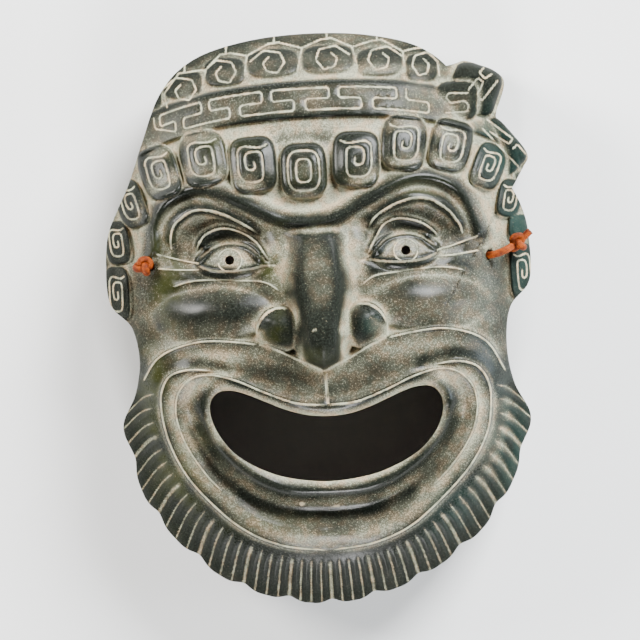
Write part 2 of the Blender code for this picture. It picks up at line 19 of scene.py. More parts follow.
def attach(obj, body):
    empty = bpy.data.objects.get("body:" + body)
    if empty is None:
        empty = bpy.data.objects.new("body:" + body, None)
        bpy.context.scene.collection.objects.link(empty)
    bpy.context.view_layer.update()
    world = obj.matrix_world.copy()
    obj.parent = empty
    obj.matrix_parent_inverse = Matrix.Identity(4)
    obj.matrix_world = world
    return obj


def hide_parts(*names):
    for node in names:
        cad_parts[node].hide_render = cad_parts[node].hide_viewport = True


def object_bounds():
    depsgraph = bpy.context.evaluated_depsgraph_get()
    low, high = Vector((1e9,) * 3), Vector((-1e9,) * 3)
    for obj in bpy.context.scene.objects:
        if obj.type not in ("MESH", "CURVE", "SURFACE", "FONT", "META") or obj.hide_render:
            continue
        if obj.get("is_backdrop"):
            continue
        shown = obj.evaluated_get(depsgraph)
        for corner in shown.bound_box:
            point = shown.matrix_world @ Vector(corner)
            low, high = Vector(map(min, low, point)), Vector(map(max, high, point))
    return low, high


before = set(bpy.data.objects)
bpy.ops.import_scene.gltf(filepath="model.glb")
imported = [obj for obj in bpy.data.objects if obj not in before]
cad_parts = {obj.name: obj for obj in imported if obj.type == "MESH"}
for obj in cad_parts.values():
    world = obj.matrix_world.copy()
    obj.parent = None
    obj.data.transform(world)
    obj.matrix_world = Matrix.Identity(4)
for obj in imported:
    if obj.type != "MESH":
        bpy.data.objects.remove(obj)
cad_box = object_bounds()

log = logging.getLogger("comedy_mask")

MM = 0.001
CURVE_STEP = 0.8
CURVE_RUN = 14

Line = tuple[tuple[float, ...], ...]
Fields = tuple[np.ndarray, ...]


class Side(Enum):
    """A side of the face, as the viewer sees it."""

    LEFT = -1
    RIGHT = 1


class Mark(Enum):
    """How a drawn line stands on the glaze: cut into it, or as a thin crest wiped clean."""

    GROOVE = -1
    CREST = 1


def smooth_curve(points: Line | np.ndarray, closed: bool = False, pace: float = CURVE_STEP) -> np.ndarray:
    """A smooth curve through some points.

    Between two points it is half of the cubic that leaves and meets them along their neighbours' chords.

    Args:
        points: The points that the curve goes through.
        closed: Whether the curve runs back to its first point.
        pace: About how far apart the curve's own points are.

    Returns:
        The curve's points, one a row.
    """
    points = np.array(points, float)
    if closed:
        padded = np.vstack([points[-1], points, points[:2]])
    else:
        padded = np.vstack([2 * points[0] - points[1], points, 2 * points[-1] - points[-2]])
    pieces = []
    for a, b, c, d in zip(padded, padded[1:], padded[2:], padded[3:]):
        count = max(2, int(np.linalg.norm(c - b) / pace))
        t = (np.arange(count) / count)[:, None]
        pieces.append(
            0.5 * (2 * b + (c - a) * t + (2 * a - 5 * b + 4 * c - d) * t**2 + (3 * b - a - 3 * c + d) * t**3)
        )
    if not closed:
        pieces.append(points[-1:])
    return np.vstack(pieces)


def mirrored_loop(half: Line) -> np.ndarray:
    """A closed smooth loop from a half one that starts and ends on the plane x = 0."""
    half = np.array(half, float)
    return smooth_curve(np.vstack([half, half[-2:0:-1] * (-1, 1)]), closed=True)


def run_length(curve: np.ndarray) -> np.ndarray:
    """How far along a curve each of its points is."""
    return np.concatenate([[0], np.cumsum(np.linalg.norm(np.diff(curve, axis=0), axis=1))])


def spread(loop: np.ndarray, marks: Line, counts: tuple[int, ...]) -> np.ndarray:
    """Points along a loop, evenly between each mark and the next.

    Args:
        loop: The closed loop's points.
        marks: Places near the loop that it is parted at.
        counts: How many points go between each mark and the next.

    Returns:
        The points, one a row.
    """
    found = []
    at = [int(np.linalg.norm(loop - np.array(m), axis=1).argmin()) for m in marks]
    for i, count in enumerate(counts):
        start, stop = at[i], at[(i + 1) % len(at)]
        if stop <= start:
            stop += len(loop)
        run = loop[np.arange(start, stop + 1) % len(loop)]
        along = run_length(run)
        where = np.linspace(0, along[-1], count, endpoint=False)
        found.append(np.stack([np.interp(where, along, run[:, k]) for k in (0, 1)], axis=1))
    return np.vstack(found)


def nearest(x: np.ndarray, y: np.ndarray, curve: np.ndarray, reach: float) -> Fields:
    """How far each point is from a curve, and where along it the nearest place is.

    The gap to one straight piece is the length of what is left of the way from its start, less its share
    along the piece. It is positive to the left of the curve's run and negative to the right.

    Args:
        x: The points' x values.
        y: The points' y values.
        curve: The curve's points, one a row.
        reach: The gap that is far enough to count as none.

    Returns:
        The gaps, reach where a point is further, and the shares along the curve from 0 to 1.
    """
    gap, share = np.full(x.shape, float(reach)), np.zeros(x.shape)
    along = run_length(curve)
    for first in range(0, len(curve) - 1, CURVE_RUN):
        run = curve[first:first + CURVE_RUN + 1]
        low, high = run.min(axis=0) - reach, run.max(axis=0) + reach
        near = np.flatnonzero((x > low[0]) & (x < high[0]) & (y > low[1]) & (y < high[1]))
        if not len(near):
            continue
        dx, dy = np.diff(run, axis=0).T
        px, py = x[near][:, None] - run[:-1, 0], y[near][:, None] - run[:-1, 1]
        t = np.clip((px * dx + py * dy) / np.maximum(dx**2 + dy**2, 1e-9), 0, 1)
        ox, oy = px - t * dx, py - t * dy
        away = np.hypot(ox, oy)
        best = away.argmin(axis=1)
        rows = np.arange(len(near))
        found = away[rows, best]
        closer = found < np.abs(gap[near])
        left = np.where(dx[best] * oy[rows, best] >= dy[best] * ox[rows, best], 1.0, -1.0)
        gap[near[closer]] = (found * left)[closer]
        pieces = along[first + best] + t[rows, best] * np.hypot(dx, dy)[best]
        share[near[closer]] = (pieces / along[-1])[closer]
    return gap, share


def step(low: float, high: float, value: np.ndarray) -> np.ndarray:
    """A smooth step from 0 at low to 1 at high."""
    t = np.clip((value - low) / (high - low), 0, 1)
    return t * t * (3 - 2 * t)


def hump(gap: np.ndarray, width: float | np.ndarray) -> np.ndarray:
    """A raised cosine: 1 where the gap is 0, and 0 from one width away."""
    return (np.cos(math.pi * np.clip(np.abs(gap) / width, 0, 1)) + 1) / 2


def roll(x: np.ndarray, y: np.ndarray, line: Line, width: float, rise: float) -> np.ndarray:
    """A rounded ridge, or a groove where rise is negative, along a line; its foot is at 2.5 widths."""
    gap, _ = nearest(x, y, smooth_curve(line), 2.5 * width)
    return rise * hump(gap, 2.5 * width)


def ledge(
    x: np.ndarray, y: np.ndarray, line: Line, left: float, right: float, rise: float, fade: float = 0.12,
) -> np.ndarray:
    """A crest along a line whose sides fall away over unlike widths, and which may fade out at its ends.

    Args:
        x: The points' x values.
        y: The points' y values.
        line: The crest's points.
        left: How wide the slope to the left of the line's run is.
        right: How wide the slope to its right is.
        rise: The crest's height.
        fade: The share of its run over which the crest fades at each end.

    Returns:
        The heights to add.
    """
    gap, share = nearest(x, y, smooth_curve(line), max(left, right))
    z = rise * hump(gap, np.where(gap > 0, left, right))
    return z * step(0, fade, share) * step(0, fade, 1 - share) if fade > 0 else z


def join_smoothly(first: np.ndarray, second: np.ndarray, soft: float) -> np.ndarray:
    """The higher of two heights, rounded where they meet: half their sum and the soft size of their gap."""
    return (first + second + np.sqrt((first - second) ** 2 + soft**2) - soft) / 2


def mound(
    x: np.ndarray, y: np.ndarray, place: tuple[float, float], radii: tuple[float, float], rise: float,
    power: float = 1.0,
) -> np.ndarray:
    """A smooth mound over an ellipse: the rise times a power of one less the squared share of the radii."""
    inside = 1 - ((x - place[0]) / radii[0]) ** 2 - ((y - place[1]) / radii[1]) ** 2
    return rise * np.clip(inside, 0, 1) ** power


def pad(
    x: np.ndarray, y: np.ndarray, place: tuple[float, float], half: tuple[float, float], turn: float,
    square: float,
) -> np.ndarray:
    """How far inside a turned superellipse each point is: one less the sum of its shares' powers.

    Args:
        x: The points' x values.
        y: The points' y values.
        place: The superellipse's middle.
        half: Its half sizes.
        turn: Its turn in radians.
        square: The power, which is 2 for an ellipse and more for a squarer form.

    Returns:
        1 in the middle, and 0 on its edge and outside.
    """
    c, s = math.cos(turn), math.sin(turn)
    u, v = (x - place[0]) * c + (y - place[1]) * s, (y - place[1]) * c - (x - place[0]) * s
    return np.clip(1 - np.abs(u / half[0]) ** square - np.abs(v / half[1]) ** square, 0, 1)


@dataclass(frozen=True)
class DrawnLine:
    """One line of the drawing on the mask, in the mask's plan."""

    points: np.ndarray
    width: float = 0.62
    depth: float = 0.5
    mark: Mark = Mark.GROOVE
    cream: float = 1.0
    fade: float = 0.06

    def relief(self, x: np.ndarray, y: np.ndarray) -> np.ndarray:
        """The line's height: its depth times a raised cosine of the gap, less towards its ends."""
        gap, share = nearest(x, y, self.points, self.width)
        return self.mark.value * self.depth * hump(gap, self.width) * self.ends(share)

    def ends(self, share: np.ndarray) -> np.ndarray:
        """How much of the line is left along it: all of it but near its two ends.

        Args:
            share: How far along the line each point is, from 0 to 1.

        Returns:
            The shares that are left.
        """
        if self.fade <= 0:
            return np.ones(share.shape)
        blunt = 0.25 * self.fade
        return step(0, self.fade, share + blunt) * step(0, self.fade, 1 - share + blunt)

    def wash(self, x: np.ndarray, y: np.ndarray) -> np.ndarray:
        """How much of the cream wash the line holds at each point, from 0 to its own share."""
        gap, share = nearest(x, y, self.points, self.width)
        return self.cream * (1 - step(0.25 * self.width, 0.85 * self.width, np.abs(gap))) * self.ends(share)


@dataclass
class HandLean:
    """How far the hand that modelled the face leaned its curls and chin, and slanted its mouth."""

    top: float = 3.3
    chin: float = 2.2
    mouth_slant: float = 0.03
    face_half_width: float = 92.0
    brow_band: tuple[float, float] = (32, 44)
    chin_band: tuple[float, float] = (-45, -85)
    mouth_band: tuple[float, float] = (-5, -25)
    beard_band: tuple[float, float] = (-112, -85)

    def shift(self, x: np.ndarray, y: np.ndarray) -> Fields:
        """How far a point of the even face lies to the left of and below its even place.

        Args:
            x: The points' x values.
            y: The points' y values.

        Returns:
            The ways to the left and down.
        """
        left = self.top * step(*self.brow_band, y) * (1 - (x / self.face_half_width) ** 2)
        left = left + self.chin * step(*self.chin_band, y)
        return left, self.mouth_slant * x * step(*self.mouth_band, y) * step(*self.beard_band, y)

    def even(self, x: np.ndarray, y: np.ndarray) -> Fields:
        """The even face's place of each point: its way from the middle, and its height on the face."""
        left, down = self.shift(x, y)
        return np.abs(x + left), y + down

    def loop(self, loop: np.ndarray) -> np.ndarray:
        """A loop of the plan, leaned where it is below the middle."""
        left, down = self.shift(loop[:, 0], loop[:, 1])
        return loop - np.column_stack([left, down]) * (loop[:, 1] < 0)[:, None]

    def drawn(self, half: Line, side: Side) -> np.ndarray:
        """A half line of the even face as it lies on one side of the plan.

        Args:
            half: The half line's points.
            side: The side that it is drawn on.

        Returns:
            The curve's points.
        """
        curve = smooth_curve(half)
        x, y = side.value * curve[:, 0], curve[:, 1]
        left, down = self.shift(x, y)
        return np.column_stack([x - left, y - down])


@dataclass
class Shell:
    """The mask's plain form: the dome, its outline, its rim on the table and the open mouth."""

    wall: float = 5.5
    crown_y: float = 120.5
    chin_y: float = -119.4
    half_width: float = 92.0
    half_height: float = 124.0
    rise: float = 60.0
    foot: float = 5.0
    flatness: float = 2.4
    square_above: float = 2.8
    square_below: float = 2.3
    rim_round: float = 1.6
    socket_place: tuple[float, float] = (38.0, 34.0)
    socket_radii: tuple[float, float] = (27.0, 17.0)
    socket_depth: float = 7.0
    chin_groove: Line = ((0, -80.5), (16, -79.5), (30, -74.5), (42, -65.5), (50, -55), (54.5, -44))
    chin_groove_width: float = 4.2
    chin_groove_depth: float = 4.5
    core_place: tuple[float, float] = (0.0, 8.5)
    core_radii: tuple[float, float] = (19.0, 26.0)
    core_rise: float = 10.0
    mouth_corner: tuple[float, float] = (48.6, -38.0)
    outline_side: tuple[float, float] = (84.0, -40.0)
    rim_side: tuple[float, float] = (78.0, -35.0)

    def outline(self) -> Line:
        """The half outline, seen from the front.

        Returns:
            Its points, from the crown down to the chin.
        """
        return (
            (0, self.crown_y), (26, 118.5), (48, 112), (62, 99), (71, 78), (78, 60), (87, 42), (89.3, 26),
            (88, 11), (79.5, 1), (77, -14), (79.5, -29), (86, -43), (82.5, -58), (74, -78), (57.5, -97),
            (33, -112.5), (0, self.chin_y),
        )

    def rim(self) -> Line:
        """The half rim on the table, which the wall runs back to under the curls and the ribbon.

        Returns:
            Its points, from the crown down to the chin.
        """
        return (
            (0, 116), (30, 113), (55, 102), (69, 80), (77, 50), (80, 20), (77, -10), (78, -35), (76, -60),
            (64, -84), (40, -104), (0, -114),
        )

    def mouth(self) -> Line:
        """The half mouth, round its corner.

        Returns:
            Its points, from the middle of the upper lip to the middle of the lower lip.
        """
        return (
            (0, -40.3), (9, -39.5), (17.5, -37), (25.5, -33.6), (32, -30.8), (38, -28.9), (44, -29),
            (47.8, -32.5), (48.6, -38), (47, -44), (43.5, -50), (38, -55.8), (29, -61.3), (17, -65.6),
            (0, -67.6),
        )

    def dome(self, x: np.ndarray, y: np.ndarray, inset: float = 0.0) -> np.ndarray:
        """The plain dome: its foot, and its rise times the root of one less a superellipse's share.

        Args:
            x: The points' x values.
            y: The points' y values.
            inset: How far the dome is set in, for the hollow's roof.

        Returns:
            The heights over the back rim's plane.
        """
        a, b = self.half_width - inset, self.half_height - inset
        square = np.where(y > 0, self.square_above, self.square_below)
        share = (np.abs(x / a) ** square + np.abs(y / b) ** square) ** (self.flatness / square)
        return self.foot + (self.rise - inset) * np.sqrt(np.clip(1 - share, 0, 1))

    def hollows(self, s: np.ndarray, y: np.ndarray) -> np.ndarray:
        """The broad hollows that the inside follows too: the eye sockets and the chin's groove."""
        sockets = mound(s, y, self.socket_place, self.socket_radii, -self.socket_depth, 1.5)
        return sockets + roll(s, y, self.chin_groove, self.chin_groove_width, -self.chin_groove_depth)

    def inside(self, x: np.ndarray, y: np.ndarray) -> np.ndarray:
        """The height of the hollow's roof: the dome set in by the wall, with the broad forms only.

        Args:
            x: The points' x values.
            y: The points' y values.

        Returns:
            The heights over the back rim's plane.
        """
        s = np.abs(x)
        core = mound(s, y, self.core_place, self.core_radii, self.core_rise, 2.0)
        return self.dome(x, y, self.wall) + self.hollows(s, y) + core


@dataclass
class Nose:
    """The flat bridge, the ball at its tip and the two wings.

    Each section of the bridge is a height on the face, the flat's half width, the slope's width and the rise.
    """

    sections: Line = (
        (36.0, 8.2, 7.0, 7.0), (24.0, 9.8, 7.0, 12.1), (19.0, 10.3, 7.0, 14.3), (12.0, 10.2, 6.8, 17.0),
        (4.0, 8.7, 6.2, 20.4), (-3.0, 8.0, 6.0, 23.3), (-22.0, 7.0, 5.8, 24.9),
    )
    rounding: float = 0.07
    end_y: float = -21.5
    end_slant: float = 0.5
    under: float = 13.5
    ball_place: tuple[float, float] = (0.0, -4.5)
    ball_radii: tuple[float, float] = (14.5, 15.0)
    ball_rise: float = 20.0
    ball_power: float = 0.7
    wing_place: tuple[float, float] = (17.8, -3.4)
    wing_radii: tuple[float, float] = (9.8, 10.4)
    wing_rise: float = 13.5
    wing_power: float = 0.6
    soft: float = 2.5
    top_fade: tuple[float, float] = (4.0, -1.0)
    wing_line: Line = ((13.5, 5.6), (19, 5.6), (24, 2.6), (27.2, -2.8), (27.0, -8.7))
    under_line: Line = ((27.0, -8.7), (18, -12.6), (8.5, -17.6), (0.3, -21.8))

    def relief(self, s: np.ndarray, y: np.ndarray) -> np.ndarray:
        """The nose's height.

        The bridge's flat and rise grow down its run, a ball rounds its tip, and all of it turns under in a
        quarter round over the slanted crease that ends it.

        Args:
            s: The points' ways from the middle of the even face.
            y: The points' heights on the even face.

        Returns:
            The heights to add.
        """
        up, *sizes = np.array(self.sections)[::-1].T
        flat, side, rise = (np.interp(y, up, size) for size in sizes)
        bridge = rise * (1 - self.rounding * np.clip(s / flat, 0, 1) ** 2)
        top = step(up[-1] + self.top_fade[0], up[-1] + self.top_fade[1], y)
        bridge = bridge * (1 - step(flat - side / 2, flat + side, s)) * top
        ball = mound(s, y, self.ball_place, self.ball_radii, self.ball_rise, self.ball_power)
        wing = mound(s, y, self.wing_place, self.wing_radii, self.wing_rise, self.wing_power)
        body = join_smoothly(join_smoothly(bridge, ball, self.soft), wing, self.soft / 2)
        over = np.clip((y - self.end_y - self.end_slant * s) / self.under, 0, 1)
        return body * np.sqrt(1 - (1 - over) ** 2)

    def lines(self) -> list[tuple[Line, float, Mark]]:
        """The half lines round each wing and under the nose, with the width and mark of each."""
        return [(self.wing_line, 0.8, Mark.CREST), (self.under_line, 0.85, Mark.CREST)]


@dataclass
class Eyes:
    """The eyes: eyeballs in almond openings, lids, the eyebrow's crest, and the lines round them."""

    place: tuple[float, float] = (36.8, 26.8)
    ball_radii: tuple[float, float] = (15.0, 8.5)
    ball_rise: float = 6.0
    ball_power: float = 0.8
    corner_place: tuple[float, float] = (18.0, 31.0)
    corner_radii: tuple[float, float] = (5.5, 7.0)
    corner_rise: float = 2.0
    pupil_radius: float = 1.9
    iris_radius: float = 5.0
    iris_squash: float = 0.95
    lid_rise: float = 1.5
    lid_width: float = 3.2
    lid_edge: tuple[float, float] = (-0.5, 0.7)
    lid_groove: float = 1.4
    lid_groove_half: float = 1.3
    lid_groove_inset: float = 0.3
    brow_slopes: tuple[float, float] = (3.4, 7.0)
    brow_rise: float = 4.4
    crest_slopes: tuple[float, float] = (8.0, 2.6)
    crest_rise: float = 3.6
    opening: Line = (
        (50.2, 25.2), (46.5, 30), (41.5, 33), (35.5, 33.8), (29, 31.8), (24.5, 27.6), (20.5, 23.8),
        (28, 22.7), (36, 22.1), (44, 22.9),
    )
    eyebrow: Line = (
        (61, 32), (60.3, 37), (57, 43), (50.5, 47.6), (44, 48.4), (35.8, 46.2), (27.7, 41.6), (22.4, 36.6),
    )
    lid_crest: Line = (
        (50.5, 31), (49, 34.4), (44.7, 38.2), (37, 40.2), (30, 38.2), (24.8, 33), (20.6, 25.6),
    )
    under_eye: Line = ((61, 17.2), (55, 18.6), (48, 19.1), (34, 18.2), (23, 16.8), (16.6, 12.6))
    crow_top: Line = ((49.6, 26.2), (57, 28), (67.4, 31.2))
    crow_low: Line = ((49.6, 23.6), (58, 24), (67.6, 25.2))

    def relief(self, s: np.ndarray, y: np.ndarray) -> np.ndarray:
        """The eye's height: the eyeball, the lids past its almond opening, and the two crests above it.

        Args:
            s: The points' ways from the middle of the even face.
            y: The points' heights on the even face.

        Returns:
            The heights to add.
        """
        ball = mound(s, y, self.place, self.ball_radii, self.ball_rise, self.ball_power)
        almond = smooth_curve(self.opening, closed=True)
        gap, _ = nearest(s, y, np.vstack([almond, almond[:1]]), self.lid_width)
        lids = self.lid_rise * step(*self.lid_edge, gap) * hump(np.maximum(gap, 0), self.lid_width)
        groove = self.lid_groove * hump(gap + self.lid_groove_inset, self.lid_groove_half)
        lids = lids - groove * step(self.place[1], self.place[1] + 3, y)
        brow = ledge(s, y, self.eyebrow, *self.brow_slopes, self.brow_rise)
        lid = ledge(s, y, self.lid_crest, *self.crest_slopes, self.crest_rise)
        corner = mound(s, y, self.corner_place, self.corner_radii, self.corner_rise)
        return ball + lids + brow + lid + corner

    def lines(self) -> list[tuple[Line, float, Mark]]:
        """The eye's drawn lines.

        Returns:
            The half line, width and mark of each.
        """
        x, y = self.place
        across, up = self.iris_radius, self.iris_squash * self.iris_radius
        turn = np.linspace(0, 2 * math.pi, 40)
        iris = tuple((x + across * math.cos(a), y + up * math.sin(a)) for a in turn)
        lower_lid = self.opening[:1] + self.opening[:5:-1] + ((17, 23.6),)
        fine = (self.lid_crest, self.under_eye, self.crow_top, self.crow_low)
        return [
            (self.eyebrow, 0.7, Mark.CREST), *((line, 0.65, Mark.CREST) for line in fine),
            (iris, 0.5, Mark.CREST), (lower_lid, 0.8, Mark.GROOVE),
        ]


@dataclass
class FaceRolls:
    """The face's own rolls: the brow ridge, the cheeks, the lips, the chin and the rings round the mouth.

    Each step is its slopes' widths to the left and the right of its line's run, and its rise.
    """

    brow: Line = (
        (0, 40.5), (10, 42), (20, 46.5), (33, 53.5), (47, 57.5), (59.5, 53.5), (66, 45), (68.5, 33),
    )
    brow_above: float = 7.5
    brow_below: float = 4.8
    brow_rise: float = 5.2
    cheek_place: tuple[float, float] = (45.0, 4.0)
    cheek_radii: tuple[float, float] = (26.0, 12.0)
    cheek_rise: float = 6.5
    upper_lip: Line = ((0, -29), (14, -25), (28, -18.5), (44, -14), (60, -15.5), (69, -24))
    upper_lip_width: float = 6.0
    upper_lip_rise: float = 4.5
    lip: Line = (
        (0, -72.3), (19, -70.6), (35, -62.5), (46, -51.5), (51.3, -41), (51, -33), (45.5, -26.2), (38, -26),
        (26, -31), (12, -36.2), (0, -37.6),
    )
    lip_width: float = 2.6
    lip_rise: float = 4.0
    chin: Line = ((0, -91), (22, -87.5), (40, -76), (54, -61), (61.5, -46), (62.5, -33), (57, -24))
    chin_width: float = 4.2
    chin_rise: float = 3.2
    moustache: Line = (
        (0, -21.5), (8, -17.8), (16, -13.4), (27, -9.1), (37, -7.4), (50, -6.5), (62, -9), (70, -14),
        (76, -24),
    )
    outer_ring: Line = (
        (44, -20.8), (55, -19.2), (64, -21.5), (68.4, -28.5), (68.8, -38), (66.3, -50), (59.5, -63),
        (49, -75), (35, -87), (19, -94), (0, -96.6),
    )
    inner_ring: Line = (
        (0, -35.8), (12.5, -34.6), (25, -30), (37, -24.6), (47, -22), (55, -23), (61, -28.5), (63, -36.5),
        (61.3, -46), (57, -55), (50, -64.5), (43, -71.5),
    )
    philtrum: Line = ((0.2, -21.6), (0.5, -27), (0.7, -34.7))
    moustache_step: tuple[float, float, float] = (1.6, 6.0, 1.6)
    outer_step: tuple[float, float, float] = (1.6, 6.0, 1.5)
    inner_step: tuple[float, float, float] = (1.4, 5.5, 1.3)

    def relief(self, s: np.ndarray, y: np.ndarray) -> np.ndarray:
        """The rolls' heights, with a thin step at the moustache's edge and at each ring round the mouth.

        Args:
            s: The points' ways from the middle of the even face.
            y: The points' heights on the even face.

        Returns:
            The heights to add.
        """
        z = ledge(s, y, self.brow, self.brow_above, self.brow_below, self.brow_rise, 0.0)
        z = z + mound(s, y, self.cheek_place, self.cheek_radii, self.cheek_rise)
        z = z + roll(s, y, self.upper_lip, self.upper_lip_width, self.upper_lip_rise)
        z = z + roll(s, y, self.lip, self.lip_width, self.lip_rise)
        z = z + roll(s, y, self.chin, self.chin_width, self.chin_rise)
        z = z + ledge(s, y, self.moustache, *self.moustache_step)
        z = z + ledge(s, y, self.outer_ring, *self.outer_step)
        return z + ledge(s, y, self.inner_ring, *self.inner_step)

    def lines(self) -> list[tuple[Line, float, Mark]]:
        """The lines round the mouth.

        Returns:
            The half line, width and mark of each.
        """
        return [
            (self.moustache[3:], 0.65, Mark.CREST), (self.outer_ring, 0.7, Mark.CREST),
            (self.inner_ring, 0.65, Mark.CREST),
        ]


@dataclass
class Curls:
    """The row of rounded curls, each with a squared spiral cut into its top.

    Each curl is a place, its two half sizes and its turn in degrees, from the lowest on the left to the
    lowest on the right. The spiral is given in shares of a left curl's half sizes, from its tail inwards.
    """

    row: Line = (
        (-84.9, 15.5, 5.4, 11.8, 0), (-83.6, 37.0, 5.4, 9.2, 6), (-77.0, 52.8, 6.0, 10.4, 16),
        (-64.1, 65.3, 8.4, 11.4, 14), (-45.2, 69.9, 10.2, 11.7, 8), (-24.8, 66.3, 10.2, 12.2, 3),
        (-3.8, 62.4, 10.0, 12.0, 0), (18.4, 66.0, 10.4, 12.2, -4), (38.6, 71.6, 9.9, 11.7, -8),
        (58.1, 69.6, 9.0, 11.2, -16), (73.6, 60.2, 6.8, 10.0, -24), (81.6, 46.2, 5.2, 8.2, -14),
        (85.0, 34.0, 4.6, 5.4, -6), (85.6, 15.0, 5.6, 12.2, 0),
    )
    middle: int = 6
    rise: float = 6.0
    square: float = 3.4
    power: float = 0.45
    dimple: float = 0.5
    dimple_place: float = 0.55
    dimple_spread: float = 0.05
    rings: Line = ((0.66, 0.70), (0.31, 0.40))
    spiral: Line = (
        (0.70, 0.64), (0.30, 0.55), (-0.30, 0.63), (-0.56, 0.50), (-0.60, 0.20), (-0.60, -0.28),
        (-0.42, -0.54), (-0.05, -0.62), (0.26, -0.58), (0.37, -0.40), (0.40, 0.0), (0.37, 0.34),
        (0.12, 0.42), (-0.16, 0.40), (-0.29, 0.28), (-0.31, 0.05), (-0.25, -0.14), (-0.06, -0.20),
        (0.07, -0.12), (0.04, 0.10),
    )
    least_half_y: float = 6.0

    def relief(self, x: np.ndarray, y: np.ndarray) -> np.ndarray:
        """The curls' heights: a superellipse's share to a power, less a ring-shaped dimple.

        Args:
            x: The points' x values.
            y: The points' y values.

        Returns:
            The heights to add.
        """
        rise = np.zeros(x.shape)
        for cx, cy, half_x, half_y, turn in self.row:
            inside = pad(x, y, (cx, cy), (half_x, half_y), math.radians(turn), self.square)
            ring = np.clip(1 - ((1 - inside) ** 0.5 - self.dimple_place) ** 2 / self.dimple_spread, 0, 1)
            rise = np.maximum(rise, self.rise * inside**self.power - self.dimple * ring * (inside > 0))
        return rise

    def drawn(self) -> list[DrawnLine]:
        """The curls' drawn lines: two rings on the middle one, and a spiral on each other that has room.

        A ring is a superellipse: at each angle, one over the root of its sine's and cosine's powers' sum.

        Returns:
            The lines, placed and turned with their curls.
        """
        angle = np.linspace(0, 2 * math.pi, 60)
        c, s, power = np.cos(angle), np.sin(angle), self.square
        reach = 1 / (np.abs(c) ** power + np.abs(s) ** power) ** (1 / power)
        ring = np.column_stack([reach * c, reach * s])
        lines = []
        for i, (cx, cy, half_x, half_y, turn) in enumerate(self.row):
            if half_y < self.least_half_y:
                continue
            shapes = [smooth_curve(self.spiral, pace=0.05) * (1 if i < self.middle else -1, 1)]
            if i == self.middle:
                shapes = [ring * share for share in self.rings]
            c, s = math.cos(math.radians(turn)), math.sin(math.radians(turn))
            for shape in shapes:
                at = shape * (half_x, half_y)
                points = np.column_stack([cx + at[:, 0] * c - at[:, 1] * s, cy + at[:, 0] * s + at[:, 1] * c])
                lines.append(DrawnLine(points, fade=0.0 if i == self.middle else 0.02))
        return lines


